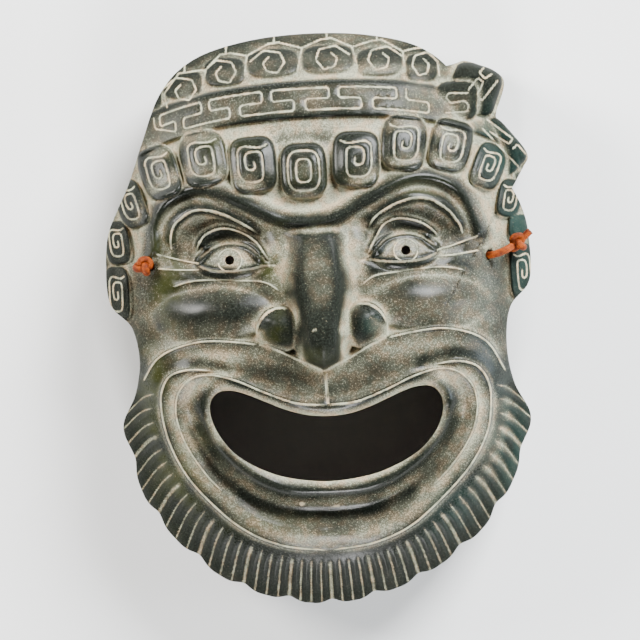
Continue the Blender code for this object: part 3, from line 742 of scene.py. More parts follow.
@dataclass
class Crown:
    """The headband with its running key pattern, and the row of cells above it with a spiral in each."""

    band_y: float = 92.4
    band_drop: float = 0.0012
    band_drop_side: float = 2e-7
    band_half: float = 8.4
    band_rise: float = 2.4
    band_soft: tuple[float, float] = (-1.5, 0.5)
    cell_x: tuple[float, ...] = (-67.0, -52.5, -34.5, -14.2, 8.8, 30.6, 48.0)
    cell_half: tuple[float, ...] = (5.5, 8.5, 8.8, 11.0, 11.0, 9.8, 6.8)
    cell_y: float = 109.0
    cell_drop: float = 0.0026
    cell_half_height: float = 6.2
    cell_rise: float = 2.2
    cell_square: float = 3.0
    cell_power: float = 0.4
    key_period: float = 28.2
    key_start: float = -15.6
    key_half: float = 4.6
    key_unit: Line = (
        (0, 1), (24.2, 1), (24.2, 0), (14.1, 0), (14.1, -1), (37.6, -1), (37.6, 0), (28.2, 0),
    )
    key_corner: float = 0.9
    key_wrap: float = 80.0
    key_slant: float = 0.4
    key_from: float = -78.0
    key_to: float = 51.0
    dividers: Line = (
        (-60.5, 98.5, -59.5, 92.5), (-42.4, 107.6, -44.4, 99.5), (-24.9, 112.3, -26.2, 103.8),
        (-1.6, 114.3, -4.0, 104.6), (19.4, 113.6, 21.3, 104.2), (40.6, 110.6, 41.2, 102.2),
        (55.0, 105.2, 55.4, 99.4),
    )
    peak_rise: float = 4.4
    roof: Line = ((-2.5, -0.8), (2.0, -0.4))
    post: tuple[float, float] = (0.3, 4.0)
    spiral: Line = (
        (0.30, 0.40), (0.78, -0.10), (0.53, -0.80), (-0.33, -1.0), (-0.93, -0.13), (-0.60, 0.73), (0.67, 1.0),
        (1.75, 0.15),
    )
    spiral_half: tuple[float, float] = (5.3, 5.0)
    spiral_share: float = 0.29
    spiral_lift: float = 0.4
    corner: float = 0.4

    def band_middle(self, x: np.ndarray) -> np.ndarray:
        """The height of the band's middle line on the plan."""
        return self.band_y - self.band_drop * x**2 - self.band_drop_side * x**4

    def relief(self, x: np.ndarray, y: np.ndarray) -> np.ndarray:
        """The heights of the band, a flat strip with soft edges, and of the cells, low superellipses.

        Args:
            x: The points' x values.
            y: The points' y values.

        Returns:
            The heights to add.
        """
        gap = np.abs(y - self.band_middle(x))
        inner, outer = (self.band_half + soft for soft in self.band_soft)
        band = self.band_rise * (1 - step(inner, outer, gap))
        cells = np.zeros(x.shape)
        for cx, half in zip(self.cell_x, self.cell_half):
            place = (cx, self.cell_y - self.cell_drop * cx**2)
            share = pad(x, y, place, (half, self.cell_half_height), 0.0, self.cell_square)
            cells = np.maximum(cells, self.cell_rise * share**self.cell_power)
        return np.maximum(band, cells)

    def on_band(self, along: np.ndarray, up: np.ndarray) -> np.ndarray:
        """Places on the band as they lie on the plan, where the band wraps round the dome's left side.

        Args:
            along: How far along the band each is from the middle.
            up: How far above the band's middle line each is.

        Returns:
            The places' x and y values, a row each.
        """
        x = np.where(along < 0, self.key_wrap * np.sin(along / self.key_wrap), along)
        slope = -2 * self.band_drop * x
        return np.column_stack([x - up * slope * self.key_slant, self.band_middle(x) + up])

    def key_pattern(self) -> list[DrawnLine]:
        """The running key: a line that steps along the band's top, back by its middle and along its foot.

        Returns:
            The key's one line.
        """
        corners = []
        for k in range(-3, 3):
            shift = self.key_start + k * self.key_period
            corners += [(shift + u, v * self.key_half) for u, v in self.key_unit]
        corners = np.array(corners)
        corners = corners[(corners[:, 0] > self.key_from) & (corners[:, 0] < self.key_to)]
        points = self.rounded(corners, self.key_corner)
        return [DrawnLine(self.on_band(points[:, 0], points[:, 1]), fade=0.0)]

    def rounded(self, corners: np.ndarray, cut: float) -> np.ndarray:
        """A line through corners, each cut off by a short straight piece, with points close together.

        Args:
            corners: The corners' places, one a row.
            cut: How far before and after a corner it is cut off.

        Returns:
            The line's points.
        """
        points = [corners[0]]
        for a, b, c in zip(corners, corners[1:], corners[2:]):
            back, on = a - b, c - b
            points.append(b + back / np.linalg.norm(back) * cut)
            points.append(b + on / np.linalg.norm(on) * cut)
        points.append(corners[-1])
        dense = []
        for a, b in zip(points, points[1:]):
            count = max(1, int(np.linalg.norm(b - a)))
            dense.append(a + (b - a) * (np.arange(count) / count)[:, None])
        return np.vstack([*dense, points[-1]])

    def cells(self) -> list[DrawnLine]:
        """The cells' borders, with a peak over each and a line up from it, and the spiral in each.

        Returns:
            The lines.
        """
        lines = []
        posts = np.array(self.dividers)
        for post in posts:
            lines.append(DrawnLine(self.rounded(post.reshape(2, 2), 0), fade=0.0))
        for i, (a, b) in enumerate(zip(posts, posts[1:])):
            peak = (a[:2] + b[:2]) / 2 + (0, self.peak_rise)
            roof = np.array([a[:2], peak + self.roof[0], peak + self.roof[1], b[:2]])
            lines.append(DrawnLine(self.rounded(roof, 0), fade=0.0))
            lines.append(DrawnLine(self.rounded(np.array([peak, peak + self.post]), 0), fade=0.0))
            middle = (a[:2] + b[:2] + a[2:] + b[2:]) / 4 + (0, self.spiral_lift)
            half = min((b[0] - a[0]) * self.spiral_share, self.spiral_half[0]), self.spiral_half[1]
            shape = np.array(self.spiral) * (-1 if middle[0] < 0 else 1, 1) * half
            lines.append(DrawnLine(self.rounded(middle + shape, self.corner), fade=0.0))
        return lines


@dataclass
class Bow:
    """The headband's ribbon bow on the right: a flat knot and two flat ends, each with its key pattern."""

    knot: tuple[float, ...] = (62.0, 88.3, 8.6, 8.2, -4.0, 41.0)
    keys: tuple[Line, ...] = (
        (
            (66.6, 91.2), (58.5, 91.7), (57.5, 89.8), (59.2, 87.4), (65.1, 88.1), (66.9, 86.0), (66.1, 83.5),
            (57.1, 83.4),
        ),
        ((67.0, 92.5), (71.4, 97.4), (73.6, 95.3), (70.7, 90.4), (72.5, 87.7), (79.7, 95.9)),
        ((74.2, 101.7), (72.2, 99.6), (74.3, 96.9), (77.3, 98.7)),
        ((74.3, 79.9), (84.7, 71.2), (83.0, 69.1), (75.3, 74.6)), ((84.5, 67.0), (86.5, 68.8), (89.8, 64.8)),
        ((72.1, 76.1), (86.6, 59.2)),
    )
    ends: Line = ((70.0, 93.2, 10.6, 10.4, -22.0, 36.0), (78.6, 67.8, 11.8, 8.6, -52.0, 28.0))
    square: float = 4.0
    power: float = 0.3
    line_width: float = 0.6
    line_depth: float = 0.4
    near_angle: float = 0.012

    def relief(self, x: np.ndarray, y: np.ndarray, z: np.ndarray) -> np.ndarray:
        """The heights with the bow on them: inside each flat they are drawn to the flat's own height.

        Args:
            x: The points' x values.
            y: The points' y values.
            z: The heights without the bow.

        Returns:
            The heights with it.
        """
        for cx, cy, half_x, half_y, turn, height in (*reversed(self.ends), self.knot):
            share = pad(x, y, (cx, cy), (half_x, half_y), math.radians(turn), self.square) ** self.power
            z = np.where(share > 0, np.maximum(z, z + (height - z) * share), z)
        return z

    def reach(self, angle: np.ndarray, end: tuple[float, ...]) -> np.ndarray:
        """How far out from the mask's middle an end of the bow reaches.

        The end's edge is a superellipse, whose x and y are its half sizes times powers of cosine and sine.

        Args:
            angle: The angles round the mask's middle.
            end: The end's place, half sizes, turn and height.

        Returns:
            The reach at each angle, and 0 where the end isn't.
        """
        cx, cy, half_x, half_y, turned, _ = end
        turn, t = math.radians(turned), np.linspace(0, 2 * math.pi, 400)
        u = half_x * np.sign(np.cos(t)) * np.abs(np.cos(t)) ** (2 / self.square)
        v = half_y * np.sign(np.sin(t)) * np.abs(np.sin(t)) ** (2 / self.square)
        x = cx + u * math.cos(turn) - v * math.sin(turn)
        y = cy + u * math.sin(turn) + v * math.cos(turn)
        reach = np.zeros(angle.shape)
        for a, r in zip(np.arctan2(y, x), np.hypot(x, y)):
            close = np.abs(angle - a) < self.near_angle
            reach[close] = np.maximum(reach[close], r)
        return reach

    def lines(self, crown: Crown) -> list[DrawnLine]:
        """The lines of the key pattern on the knot and on each end, cornered as the crown's are."""
        drawn = [crown.rounded(np.array(key), crown.corner) for key in self.keys]
        return [DrawnLine(points, self.line_width, self.line_depth, fade=0.0) for points in drawn]


@dataclass
class Beard:
    """The beard's locks: flutes that fan out from the mouth's outer ring to the outline."""

    count: int = 24
    closeness: float = 0.25
    reach: float = 2.85
    depth: float = 1.8
    flutes_per_lock: int = 4
    notch: float = 2.0
    top_y: float = -22.0
    start: float = 4.0
    lean: float = 17.0
    bulge: float = 1.7
    taper: float = 0.3
    deeper: float = 1.4
    strand_power: float = 1.3
    notch_power: int = 6

    def edge(self, outline: np.ndarray) -> Fields:
        """The outline beside the beard, on the right.

        Args:
            outline: The even outline's loop.

        Returns:
            Its points from the chin up, and how far along it each is.
        """
        edge = outline[(outline[:, 0] >= 0) & (outline[:, 1] < self.top_y + 8)]
        edge = edge[np.argsort(np.arctan2(edge[:, 0], -edge[:, 1]))]
        return edge, run_length(edge)

    def shares(self) -> np.ndarray:
        """How far from the chin to the beard's top each flute is, closer together at the chin."""
        share = np.arange(self.count) / self.count
        return share * (1 - self.closeness) + self.closeness * share**2

    def notch_depth(self, outline: np.ndarray) -> np.ndarray:
        """How deep the notches in the beard's edge are: a power of the cosine of the way between deep flutes.

        Args:
            outline: The even outline's loop.

        Returns:
            The depth at each of its points, deepest where a deep flute ends.
        """
        edge, along = self.edge(outline)
        turn = np.arctan2(np.abs(outline[:, 0]), -outline[:, 1])
        where = np.interp(turn, np.arctan2(edge[:, 0], -edge[:, 1]), along)
        ends = np.append(self.shares()[::self.flutes_per_lock], 1.0) * (along[-1] - self.lean)
        locks = np.interp(where, ends, np.append(np.arange(len(ends) - 1), len(ends) - 1.5))
        below = outline[:, 1] < self.top_y - 6
        return self.notch * np.abs(np.cos(math.pi * locks)) ** self.notch_power * below

    def flutes(self, ring_line: Line, outline: np.ndarray) -> list[np.ndarray]:
        """The flutes of one side of the even face, from the chin up to the side.

        Each runs from the ring to a place on the outline that is further back towards the chin the more it
        lies to the side, and bulges upwards between them by the same share.

        Args:
            ring_line: The mouth's outer ring.
            outline: The even outline's loop.

        Returns:
            The flutes' points.
        """
        ring = smooth_curve(ring_line, pace=1.0)[::-1]
        ring = ring[ring[:, 1] < self.top_y]
        edge, length = self.edge(outline)
        along = run_length(ring)
        lines = []
        for share in self.shares():
            inner = np.array([np.interp(share * along[-1], along, ring[:, k]) for k in (0, 1)])
            at = share * (length[-1] - self.lean)
            outer = np.array([np.interp(at, length, edge[:, k]) for k in (0, 1)])
            way = (outer - inner) / np.linalg.norm(outer - inner)
            up = np.array([-way[1], way[0]]) * self.bulge * share
            places = np.array([inner + self.start * way, (inner + outer) / 2 + up, outer + way])
            lines.append(smooth_curve(places))
        return lines

    def deep(self, index: int) -> bool:
        """Whether a flute is the deep one between two locks."""
        return index % self.flutes_per_lock == 0

    def relief(self, s: np.ndarray, y: np.ndarray, flutes: list[np.ndarray]) -> np.ndarray:
        """The flutes' heights: rounded strands, whose sides fall to the flute as a power of the gap.

        Args:
            s: The points' ways from the middle of the even face.
            y: The points' heights on the even face.
            flutes: The flutes' points.

        Returns:
            The heights to add, which are below 0.
        """
        cut = np.zeros(s.shape)
        for i, line in enumerate(flutes):
            gap, share = nearest(s, y, line, self.reach)
            deep = self.depth * (self.deeper if self.deep(i) else 1.0) * step(0, self.taper, share)
            cut = np.maximum(cut, deep * (1 - np.abs(gap) / self.reach) ** self.strand_power)
        return -cut


@dataclass
class Patch:
    """A soft patch on the plan in which the glaze holds more or less of one thing."""

    x: float
    y: float
    half_x: float
    half_y: float
    turn: float
    amount: float

    def share(self, x: np.ndarray, y: np.ndarray) -> np.ndarray:
        """The patch's amount at each point: a raised cosine over its turned ellipse.

        Args:
            x: The points' x values.
            y: The points' y values.

        Returns:
            The amounts.
        """
        c, s = math.cos(math.radians(self.turn)), math.sin(math.radians(self.turn))
        u, v = (x - self.x) * c + (y - self.y) * s, (y - self.y) * c - (x - self.x) * s
        return self.amount * hump(np.hypot(u / self.half_x, v / self.half_y), 1.0)


@dataclass
class Strip:
    """A soft strip beside a half line of the even face in which the glaze holds more or less wash."""

    line: Line
    half: float
    amount: float
    offset: float = 0.0

    def share(self, s: np.ndarray, y: np.ndarray) -> np.ndarray:
        """The strip's amount at each point: a raised cosine of the gap to the line, past the offset."""
        gap, _ = nearest(s, y, smooth_curve(self.line), self.half + abs(self.offset))
        return self.amount * hump(gap - self.offset, self.half)


@dataclass
class GlazeWear:
    """Where the cream wash lies, and where the glaze turns olive, teal or matt, as the photograph shows them.
    Some of it is painted light: painted highlights on the nose and the beard in the wash and the chips,
    painted shade beside and under the nose, under the brow ridge and in the chin's groove, the olive tint
    partly painted shade on the left, and the teal tint partly a painted cool reflection on the right.

    Each of the hollows is a size, the share of the wash for a millimetre of depth, and the least and the
    most depth that count. side_drop is how far below the plan's face the steep side starts, and flank the
    shares of the dome's rise between which the glaze goes from matt to glossy.
    """

    rolls: FaceRolls
    eyes: Eyes
    shell: Shell
    base: float = 0.30
    side_drop: tuple[float, float] = (1.0, 5.0)
    hollows: Line = ((1.0, 0.45, -0.5, 0.7), (3.5, 0.10, -2.5, 2.5))
    on_band: float = 0.02
    on_curls: float = -0.10
    on_beard_foot: float = -0.15
    beard_foot: tuple[float, float] = (-101.0, -106.0)
    flank: tuple[float, float] = (0.35, 0.72)
    patches: tuple[Patch, ...] = (
        Patch(-3, 49, 30, 9, 0, 0.45), Patch(-1, 38, 14, 4, 0, 0.35), Patch(16, 26, 8, 17, 8, 0.6),
        Patch(-17, 24, 7, 18, -8, 0.25), Patch(-18, 31, 6, 7, 0, 0.3), Patch(-36.8, 26.8, 16, 9, 0, 0.4),
        Patch(36.8, 26.8, 16, 9, 0, 0.3), Patch(-54, 33, 9, 9, 0, 0.2), Patch(-28, -5, 8, 12, 20, 0.25),
        Patch(24, -3, 9, 10, 0, 0.3), Patch(-50, -12, 22, 5, -6, 0.2), Patch(66, 42, 9, 30, 20, 0.3),
        Patch(20, 103, 62, 4, 0, 0.35), Patch(20, 118, 60, 5, -6, 0.22), Patch(66, 82, 12, 12, 0, 0.15),
        Patch(8, -14, 10, 5, 0, 0.15), Patch(60, 5, 12, 12, 0, 0.15), Patch(24, 12, 8, 6, 0, 0.25),
        # Painted shade: the patch at (-3, -12) takes the cream out under the nose's tip, where shade falls.
        Patch(-1, 2, 10, 20, 0, -0.15), Patch(-3, -12, 12, 9, 0, -0.3), Patch(-38, 7, 26, 9, 0, -0.2),
        Patch(-38, -15, 30, 9, 0, 0.3), Patch(40, -14, 30, 9, 0, 0.3), Patch(-64, 16, 11, 13, 0, -0.35),
        # Painted shade: the patches at (-14, 4) and (-10.5, -7) darken the left side of the nose, which is in
        # shade.
        Patch(-14, 4, 5, 16, 0, -0.4), Patch(-10.5, -7, 4.5, 12, -12, -0.5), Patch(44, 2, 26, 9, 0, 0.2),
        # Painted highlights: the white patches at (10.4, -12.2) and (8, -4.5) stand for the reflection on the
        # right of the nose's tip.
        Patch(0, -71, 32, 5, 0, 0.2), Patch(10.4, -12.2, 5, 5, 30, 0.6), Patch(8, -4.5, 5, 5, 0, 0.4),
        # Partly painted highlight: the cream at (14.5, 6) also stands for the sheen on the right of the nose.
        Patch(14.5, 6, 5, 8, 20, 0.35), Patch(-47, -44, 4, 13, 15, 0.3), Patch(-62, -88, 34, 20, -40, -0.25),
        # Partly painted highlight: the patch at (74, -58) holds the right beard's pale scratches, and it also
        # stands for the highlights on that side.
        Patch(-80, -12, 10, 30, 0, -0.2), Patch(-80, -50, 12, 36, 0, -0.25), Patch(74, -58, 20, 44, -12, 0.4),
        Patch(-66, 30, 6, 26, 0, 0.1), Patch(-10, -28, 26, 8, 0, 0.15), Patch(-50, 45, 18, 7, 20, 0.1),
    )
    # The olive tint is partly the glaze's own olive stain and partly painted shade. It is set mostly on the
    # left side and beside the nose, which the lights leave in shade.
    olive_and_shade: tuple[Patch, ...] = (
        Patch(-72, -28, 12, 40, 0, 0.9), Patch(-19, 18, 9, 24, 0, 0.9), Patch(-64, 20, 12, 34, 0, 0.8),
        Patch(-10, 38, 22, 6, 0, 0.7), Patch(-60, -62, 20, 30, 0, 0.6), Patch(10, 60, 44, 9, 0, 0.2),
        Patch(-45, 75, 34, 13, 0, 0.3), Patch(-4, -15, 12, 6, 0, 0.4), Patch(-20, -6, 9, 8, 0, 0.8),
        Patch(48, 52, 22, 8, 0, 0.4), Patch(-30, -84, 40, 8, 0, 0.3),
    )
    # The teal tint is partly the glaze's own tint and partly a painted cool reflection. It is set on the
    # right side and its flanks, where the light falls.
    teal_and_sheen: tuple[Patch, ...] = (
        Patch(84, 30, 14, 50, 0, 0.9), Patch(80, 70, 20, 26, 0, 0.9), Patch(76, -55, 16, 40, 0, 0.7),
        Patch(50, -82, 26, 16, 40, 0.5), Patch(22, -4, 9, 9, 0, 0.6), Patch(70, -2, 10, 30, 0, 0.3),
    )
    matt: tuple[Patch, ...] = (
        Patch(-1, 12, 20, 46, 0, 1.5), Patch(48, 88, 18, 12, 0, 0.9), Patch(-50, 82, 26, 12, 20, 0.5),
        Patch(-17, -5, 12, 12, 0, 1.2), Patch(17, -5, 12, 12, 0, 1.0),
    )
    # Two real chips in the glaze at the lower lip, and a painted highlight: the white glint on the nose's
    # tip.
    chips_and_glint: tuple[Patch, ...] = (
        Patch(-12.2, -76.5, 1.7, 1.3, 0, 1.6), Patch(2.4, -78.2, 1.3, 1.1, 0, 1.6),
        Patch(-3.1, -4.1, 1.2, 0.7, 0, 1.3),
    )

    def strips(self) -> tuple[Strip, ...]:
        """The strips that follow the face's own lines.

        Returns:
            The strips.
        """
        rolls, eyes = self.rolls, self.eyes
        valley = ((0, 80.5), (25, 80.0), (50, 78), (64, 71))
        return (
            # Painted shade: the strip just under the brow ridge and the strip along the chin's groove take
            # the cream out where shade falls under the ridge and the lower lip.
            Strip(valley, 5.0, 0.4), Strip(rolls.brow, 6.0, 0.35, 8.0), Strip(rolls.brow, 4.0, -0.25, -2.0),
            Strip(self.shell.chin_groove, 5.5, -0.5), Strip(rolls.chin, 7.0, 0.3, -1.0),
            Strip(rolls.outer_ring, 4.0, -0.3, 3.5), Strip(rolls.outer_ring, 5.0, 0.15, -4.0),
            Strip(rolls.inner_ring, 4.5, 0.25, -3.0), Strip(eyes.lid_crest, 3.5, -0.35, 3.4),
            Strip(eyes.lid_crest, 2.5, -0.15, -2.6), Strip(eyes.eyebrow, 3.0, -0.2, 2.4),
            Strip(eyes.under_eye, 2.2, -0.2, -2.4), Strip(self.shell.mouth(), 4.0, 0.45),
            Strip(rolls.outer_ring[4:], 15.0, -0.35, 14.0),
        )

    def wash(self, x: np.ndarray, y: np.ndarray, s: np.ndarray, up: np.ndarray) -> np.ndarray:
        """The wash's share from the patches, on the plan, and from the strips, on the even face.

        Args:
            x: The points' x values.
            y: The points' y values.
            s: The points' ways from the middle of the even face.
            up: The points' heights on the even face.

        Returns:
            The shares.
        """
        total = np.full(x.shape, self.base) + self.sum(self.patches, x, y)
        for strip in self.strips():
            total = total + strip.share(s, up)
        return total

    def sum(self, patches: tuple[Patch, ...], x: np.ndarray, y: np.ndarray) -> np.ndarray:
        """The sum of some patches at each point.

        Args:
            patches: The patches.
            x: The points' x values.
            y: The points' y values.

        Returns:
            The sums.
        """
        total = np.zeros(x.shape)
        for patch in patches:
            total = total + patch.share(x, y)
        return total


@dataclass
class Relief:
    """The whole outer face: the plain form, the features on it and the lines drawn in it."""

    shell: Shell
    lean: HandLean
    nose: Nose
    eyes: Eyes
    rolls: FaceRolls
    curls: Curls
    crown: Crown
    bow: Bow
    beard: Beard
    crest_depth: float = 0.5
    groove_depth: float = 0.6
    philtrum_size: tuple[float, float] = (1.0, 0.7)
    flute_widths: tuple[float, float, float] = (1.4, 0.75, 0.6)
    flute_line_depth: float = 0.35
    flute_cream: float = 0.58
    flute_fade: float = 0.16
    waves: Line = ((0.31, 0.17, 0.0), (-0.22, 0.29, 1.3), (0.45, -0.38, 2.1), (0.12, 0.52, 4.0))
    wave_height: float = 0.06

    def prepare(self) -> None:
        """Work out the beard's flutes and all the drawn lines once."""
        self.flutes = self.beard.flutes(self.rolls.outer_ring, mirrored_loop(self.shell.outline()))
        self.drawing = self.curls.drawn() + self.crown.key_pattern() + self.crown.cells()
        self.drawing += self.bow.lines(self.crown)
        for feature in (self.nose, self.eyes, self.rolls):
            for half, width, mark in feature.lines():
                depth = self.crest_depth if mark is Mark.CREST else self.groove_depth
                for side in Side:
                    self.drawing.append(DrawnLine(self.lean.drawn(half, side), width, depth, mark))
        self.drawing.append(DrawnLine(smooth_curve(self.rolls.philtrum), *self.philtrum_size, fade=0.0))
        self.flute_lines = []
        deep, low, high = self.flute_widths
        for i, line in enumerate(self.flutes):
            width = deep if self.beard.deep(i) else low if i < len(self.flutes) / 2 else high
            for side in Side:
                x, y = side.value * line[:, 0], line[:, 1]
                left, down = self.lean.shift(x, y)
                points = np.column_stack([x - left, y - down])
                self.flute_lines.append(DrawnLine(
                    points, width, self.flute_line_depth, cream=self.flute_cream, fade=self.flute_fade,
                ))

    def form(self, x: np.ndarray, y: np.ndarray) -> np.ndarray:
        """The height of the outer face over the back rim's plane, without the drawn lines.

        Args:
            x: The points' x values.
            y: The points' y values.

        Returns:
            The heights.
        """
        s, up = self.lean.even(x, y)
        z = self.shell.dome(x, y) + self.crown.relief(x, y) + self.shell.hollows(s, up)
        z = z + self.rolls.relief(s, up) + self.eyes.relief(s, up) + self.nose.relief(s, up)
        z = z + self.curls.relief(x, y) + self.beard.relief(s, up, self.flutes)
        return self.bow.relief(x, y, z)

    def height(self, x: np.ndarray, y: np.ndarray) -> np.ndarray:
        """The height of the outer face, with the drawn lines and the unevenness of a hand-made thing.

        Args:
            x: The points' x values.
            y: The points' y values.

        Returns:
            The heights over the back rim's plane.
        """
        z = self.form(x, y)
        for line in (*self.drawing, *self.flute_lines):
            z = z + line.relief(x, y)
        return z + self.unevenness(x, y)

    def unevenness(self, x: np.ndarray, y: np.ndarray) -> np.ndarray:
        """A slight waviness, at or under the plain form: a few sine waves across the plan, never in step."""
        return self.wave_height * sum(np.sin(a * x + b * y + c) - 1 for a, b, c in self.waves)


@dataclass
class MaskBody:
    """The mask's one ceramic piece, lofted from the mouth over the face, round the rim and back inside."""

    relief: Relief
    wear: GlazeWear
    columns: int = 1400
    quarters: tuple[float, ...] = (0.32, 0.18, 0.18, 0.32)
    front_rows: int = 300
    wall_rows: int = 9
    inside_rows: int = 24
    triangles: int = 186000
    cord_holes: Line = ((-70.6, 26.4), (72.3, 22.8))
    cord_hole_radius: float = 2.5
    cutter_walls: float = 5.0
    raster: float = 0.5
    map_half: tuple[float, float] = (98.0, 128.0)

    def outline_loop(self) -> np.ndarray:
        """The outline from the front: the mirrored half, with the beard's notches and the bow's ends.

        Its radius is taken at even angles, raised to the bow's reach, and smoothed by a running mean.

        Returns:
            The loop's points, clockwise.
        """
        shell, beard, bow = self.relief.shell, self.relief.beard, self.relief.bow
        loop = mirrored_loop(shell.outline())
        loop = loop * (1 - beard.notch_depth(loop) / np.linalg.norm(loop, axis=1))[:, None]
        loop = self.relief.lean.loop(loop)
        angle, radius = np.arctan2(loop[:, 1], loop[:, 0]), np.linalg.norm(loop, axis=1)
        order = np.argsort(angle)
        fine = np.linspace(-math.pi, math.pi, 2000, endpoint=False)
        radius = np.interp(fine, angle[order], radius[order], period=2 * math.pi)
        for end in bow.ends:
            radius = np.maximum(radius, bow.reach(fine, end))
        radius = np.convolve(np.tile(radius, 3), np.ones(9) / 9, "same")[len(fine):2 * len(fine)]
        return np.stack([radius * np.cos(fine), radius * np.sin(fine)], axis=1)[::-1]

    def rings(self) -> np.ndarray:
        """The loft's rings, from the mouth's edge over the face and round the rim back to the mouth's edge.

        Each ring of the face lies a share of the way from the mouth to the outline, at the relief's height.
        The wall runs back from the outline to the rim, the bore stands in the rim by the wall's thickness,
        and the hollow's roof runs from the bore to the mouth again.

        Returns:
            The rings, a row of points each.
        """
        shell, counts = self.relief.shell, tuple(int(self.columns * share) for share in self.quarters)
        corner, side, rim_side = shell.mouth_corner, shell.outline_side, shell.rim_side
        half = shell.mouth()
        mouth = spread(mirrored_loop(half), (half[0], corner, half[-1], (-corner[0], corner[1])), counts)
        mouth = self.relief.lean.loop(mouth)
        marks = ((0, shell.crown_y), side, (0, shell.chin_y), (-side[0], side[1]))
        edge = spread(self.outline_loop(), marks, counts)
        half = shell.rim()
        rim = spread(mirrored_loop(half), (half[0], rim_side, half[-1], (-rim_side[0], rim_side[1])), counts)
        t = np.linspace(0, 1, self.front_rows)[:, None, None]
        plan = mouth + (edge - mouth) * t
        height = self.relief.height(plan[..., 0].ravel(), plan[..., 1].ravel())
        face = np.dstack([plan, height.reshape(plan.shape[:2])])
        top = face[-1]
        rings = [*face]
        for share in np.linspace(0, 1, self.wall_rows + 2)[1:-1]:
            plan = edge + (rim - edge) * share
            rings.append(np.column_stack([plan, top[:, 2] + (shell.rim_round - top[:, 2]) * share]))
        away = rim / np.linalg.norm(rim, axis=1)[:, None]
        bore = rim - away * shell.wall
        rings.append(np.column_stack([rim, np.full(len(rim), shell.rim_round)]))
        rings.append(np.column_stack([rim - away * shell.rim_round, np.zeros(len(rim))]))
        rings.append(np.column_stack([bore, np.zeros(len(rim))]))
        roof = shell.inside(bore[:, 0], bore[:, 1])
        rings.append(np.column_stack([bore, roof / 2]))
        for share in np.linspace(1, 0, self.inside_rows):
            plan = mouth + (bore - mouth) * share
            rings.append(np.column_stack([plan, shell.inside(plan[:, 0], plan[:, 1])]))
        return np.array(rings)

    def build(self, finishes: tuple[bpy.types.Material, bpy.types.Material]) -> bpy.types.Object:
        """The finished piece: the loft with fewer triangles where it is smooth, its holes and attributes.

        Args:
            finishes: The glaze outside and the clay inside.

        Returns:
            The mask's object.
        """
        rings = self.rings() * MM
        rows, columns = rings.shape[:2]
        at = np.arange(rows * columns).reshape(rows, columns)
        below = np.roll(at, -1, axis=0)
        quads = np.stack([at, np.roll(at, -1, axis=1), np.roll(below, -1, axis=1), below], axis=-1)
        mesh = bpy.data.meshes.new("mask_ceramic")
        mesh.from_pydata(rings.reshape(-1, 3), [], quads.reshape(-1, 4))
        for finish in finishes:
            mesh.materials.append(finish)
        inner = np.zeros((rows, columns), dtype=np.int32)
        inner[self.front_rows + self.wall_rows + 2:rows - 1] = 1
        mesh.polygons.foreach_set("material_index", inner.ravel())
        loft = bpy.data.objects.new("mask_loft", mesh)
        bpy.context.scene.collection.objects.link(loft)
        fewer = loft.modifiers.new("fewer", "DECIMATE")
        fewer.ratio = self.triangles / (2 * rows * columns)
        cutter = self.hole_cutter()
        holes = loft.modifiers.new("holes", "BOOLEAN")
        holes.operation, holes.object = "DIFFERENCE", cutter
        bpy.context.view_layer.update()
        done = bpy.data.meshes.new_from_object(loft.evaluated_get(bpy.context.evaluated_depsgraph_get()))
        for used in (loft, cutter):
            bpy.data.objects.remove(used, do_unlink=True)
        done.name = "mask_ceramic"
        done.shade_smooth()
        self.dress(done)
        piece = bpy.data.objects.new("mask_ceramic", done)
        bpy.context.scene.collection.objects.link(piece)
        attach(piece, "root")
        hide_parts("mask")
        return piece

    def hole_cutter(self) -> bpy.types.Object:
        """One object with a round cutter for each pupil, upright, and each thong hole, square to the dome.

        Returns:
            The cutters' object, to be removed once it is used.
        """
        shell, eyes = self.relief.shell, self.relief.eyes
        bm = bmesh.new()
        places = [(side.value * eyes.place[0], eyes.place[1], eyes.pupil_radius, True) for side in Side]
        places += [(x, y, self.cord_hole_radius, False) for x, y in self.cord_holes]
        for x, y, radius, upright in places:
            near = np.array([x, x + 1, x - 1, x, x]), np.array([y, y, y, y + 1, y - 1])
            z = shell.dome(*near)
            way = Vector((0, 0, 1)) if upright else Vector((-(z[1] - z[2]) / 2, -(z[3] - z[4]) / 2, 1))
            turn = way.to_track_quat("Z", "Y").to_matrix().to_4x4()
            middle = Vector((x, y, self.relief.form(np.array([x]), np.array([y]))[0])) * MM
            bmesh.ops.create_cone(
                bm, cap_ends=True, segments=32, radius1=radius * MM, radius2=radius * MM,
                depth=self.cutter_walls * shell.wall * MM, matrix=Matrix.Translation(middle) @ turn,
            )
        mesh = bpy.data.meshes.new("holes")
        bm.to_mesh(mesh)
        bm.free()
        cutter = bpy.data.objects.new("holes", mesh)
        bpy.context.scene.collection.objects.link(cutter)
        return cutter

    @cached_property
    def height_map(self) -> tuple[np.ndarray, np.ndarray, np.ndarray]:
        """The relief's height on a raster of the plan.

        Returns:
            The raster's x values, its y values and the heights, a row for each y value.
        """
        across, up = (np.arange(-half, half + 0.1, self.raster) for half in self.map_half)
        grid_x, grid_y = np.meshgrid(across, up)
        return across, up, self.relief.height(grid_x.ravel(), grid_y.ravel()).reshape(grid_x.shape)

